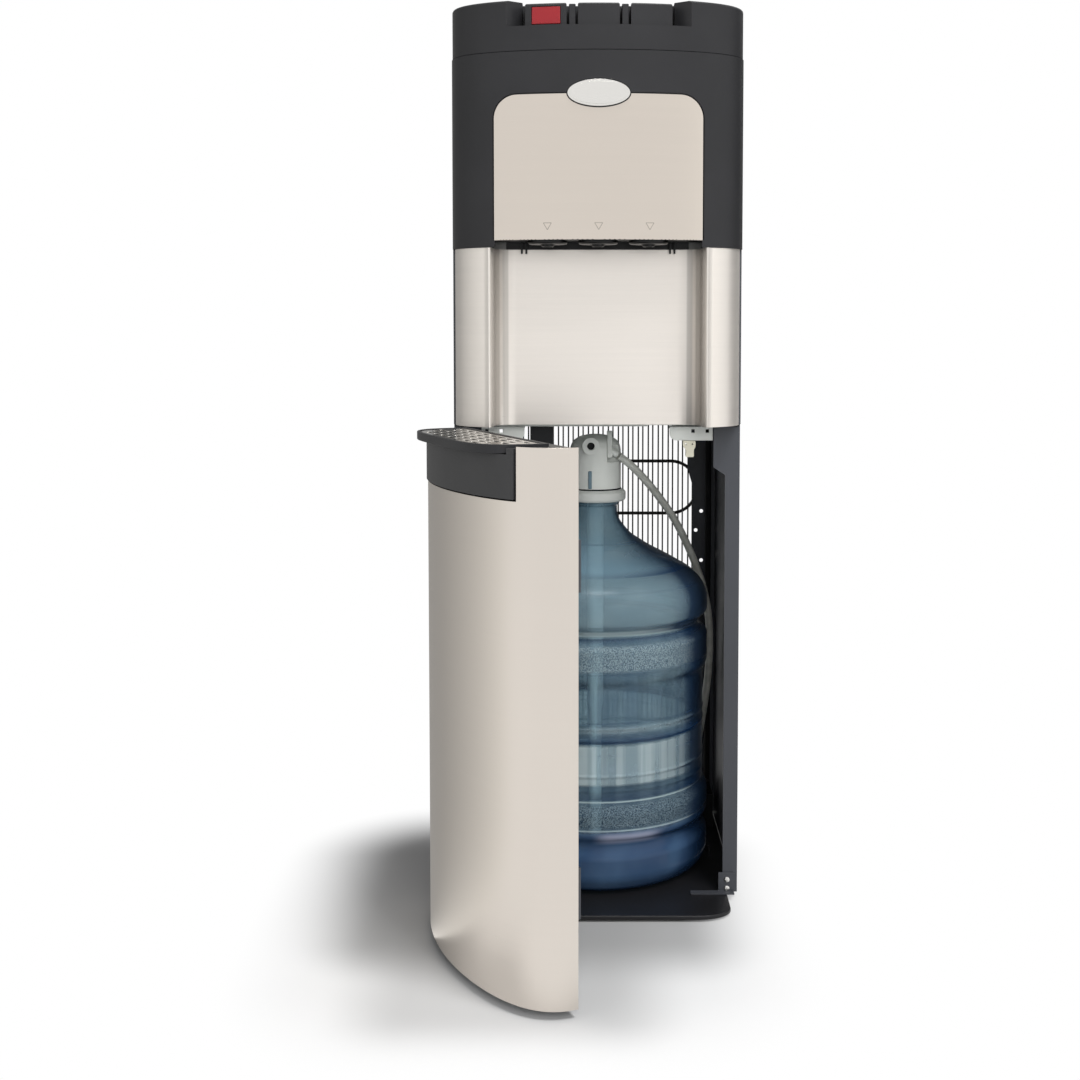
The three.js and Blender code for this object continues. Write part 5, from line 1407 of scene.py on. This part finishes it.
# %% Slot cutters and grille
GRILLE_HALF, GRILLE_BACK, GRILLE_REACH = 118.5, -24.5, 65.0
SLOT_PITCH, SLOT_LENGTH, SLOT_WIDTH, SLOT_DEPTH = 24.0, 17.5, 5.2, 6
FIRST_ROW, SLOT_ROW_PITCH, SLOT_MARGIN = 9, 11.4, 6
slot_centres = []
for row in range(5):
    drop = FIRST_ROW + row * SLOT_ROW_PITCH
    reach = GRILLE_HALF * (1 - ((drop + SLOT_WIDTH / 2) / GRILLE_REACH) ** TRAY_POWER) ** (1 / TRAY_POWER)
    for i in range(-6, 7):
        sx = i * SLOT_PITCH + (0 if row % 2 == 0 else SLOT_PITCH / 2)
        if abs(sx) + SLOT_LENGTH / 2 + SLOT_MARGIN < reach:
            slot_centres.append((sx * MM, (GRILLE_BACK - drop) * MM, 557.4 * MM))
slot_places = bpy.data.meshes.new("slot_places")
slot_places.from_pydata(slot_centres, [], [])
cutter_sizes = {"Length": SLOT_LENGTH * MM, "Width": SLOT_WIDTH * MM, "Depth": SLOT_DEPTH * MM}
cutters = Nodes("slot_cutters", cutter_sizes)
outline_curve = cutters.add("GeometryNodeCurvePrimitiveQuadrilateral",
                            {"Width": cutters.size("Length"), "Height": cutters.size("Width")})
corners = {"Curve": outline_curve, "Count": 6, "Radius": 2.5 * MM}
soft_outline = cutters.add("GeometryNodeFilletCurve", corners, mode="POLY")
flat = cutters.add("GeometryNodeFillCurve", {"Curve": soft_outline}, mode="NGONS")
deep_slot = cutters.add("GeometryNodeExtrudeMesh", {"Mesh": flat, "Offset Scale": cutters.size("Depth"),
                                                    "Individual": False})
floor_face = cutters.add("GeometryNodeFlipFaces", {"Mesh": flat})
both = cutters.tree.nodes.new("GeometryNodeJoinGeometry")
for made in (deep_slot, floor_face):
    cutters.tree.links.new(made, both.inputs[0])
whole = cutters.add("GeometryNodeMergeByDistance", {"Geometry": both.outputs[0], "Distance": 1e-5})
down = {"Geometry": whole, "Translation": (0, 0, -SLOT_DEPTH / 2 * MM)}
centred = cutters.add("GeometryNodeTransform", down)
slots = cutters.add("GeometryNodeInstanceOnPoints", {"Points": cutters.start.outputs["Geometry"],
                                                     "Instance": centred})
cutters.end_with(slots, GRILLE)
slot_cutters = outward(cutters.make("slot_cutters", slot_places))
grille_outline = d_outline(GRILLE_HALF, GRILLE_BACK, GRILLE_REACH, TRAY_POWER)
grille = carve(prism(grille_outline, 556.6, 558.1, "drip_grille_piece"), slot_cutters)
grille.data.transform(in_metres(DOOR_OPEN))
finish(grille, "drip_grille", GRILLE, "drip_grille", edge=0.3, angle=50)
print("grille with", len(slot_centres), "slots")

# %% [markdown]
# ## Screws
# Cross-head screws hold the brackets and the rear flanges. One head with few faces is copied to each place
# and turned the way that screw looks.

# %% Screws
TO_FRONT, TO_BACK = (0, -1, 0), (0, 1, 0)
SCREWS = [((x, -1.5, z), TO_FRONT) for x in (152.8, -152.8) for z in (12.0, 22.5)]
SCREWS += [((x, 288.0, z), TO_BACK) for x in (-155, 155) for z in (60, 560, 640, 760, 880, 955)]
SCREWS += [((-151.6, 289.5, z), TO_BACK) for z in (240.5, 524.5)]
SCREWS += [((151.6, 289.5, z), TO_BACK) for z in (169.5, 595.5)]

head = lathe("screw_head", [(0, 0), (3.4, 0), (3.3, 0.7), (2.4, 1.4), (1.2, 1.7), (0, 1.75)], sides=14)
head = carve(head, block(-1.9, 1.9, -0.4, 0.4, 0.9, 3), block(-0.4, 0.4, -1.9, 1.9, 0.9, 3), tidy=0.01)
bm = bmesh.new()
for place, looking in SCREWS:
    turn = Vector((0, 0, 1)).rotation_difference(Vector(looking)).to_matrix().to_4x4()
    copy = head.data.copy()
    copy.transform(in_metres(Matrix.Translation(place)) @ turn)
    bm.from_mesh(copy)
    bpy.data.meshes.remove(copy)
bpy.data.objects.remove(head)
finish(from_bmesh("cabinet_screws", bm), "cabinet", SCREW, angle=30)
print("screws:", len(SCREWS))
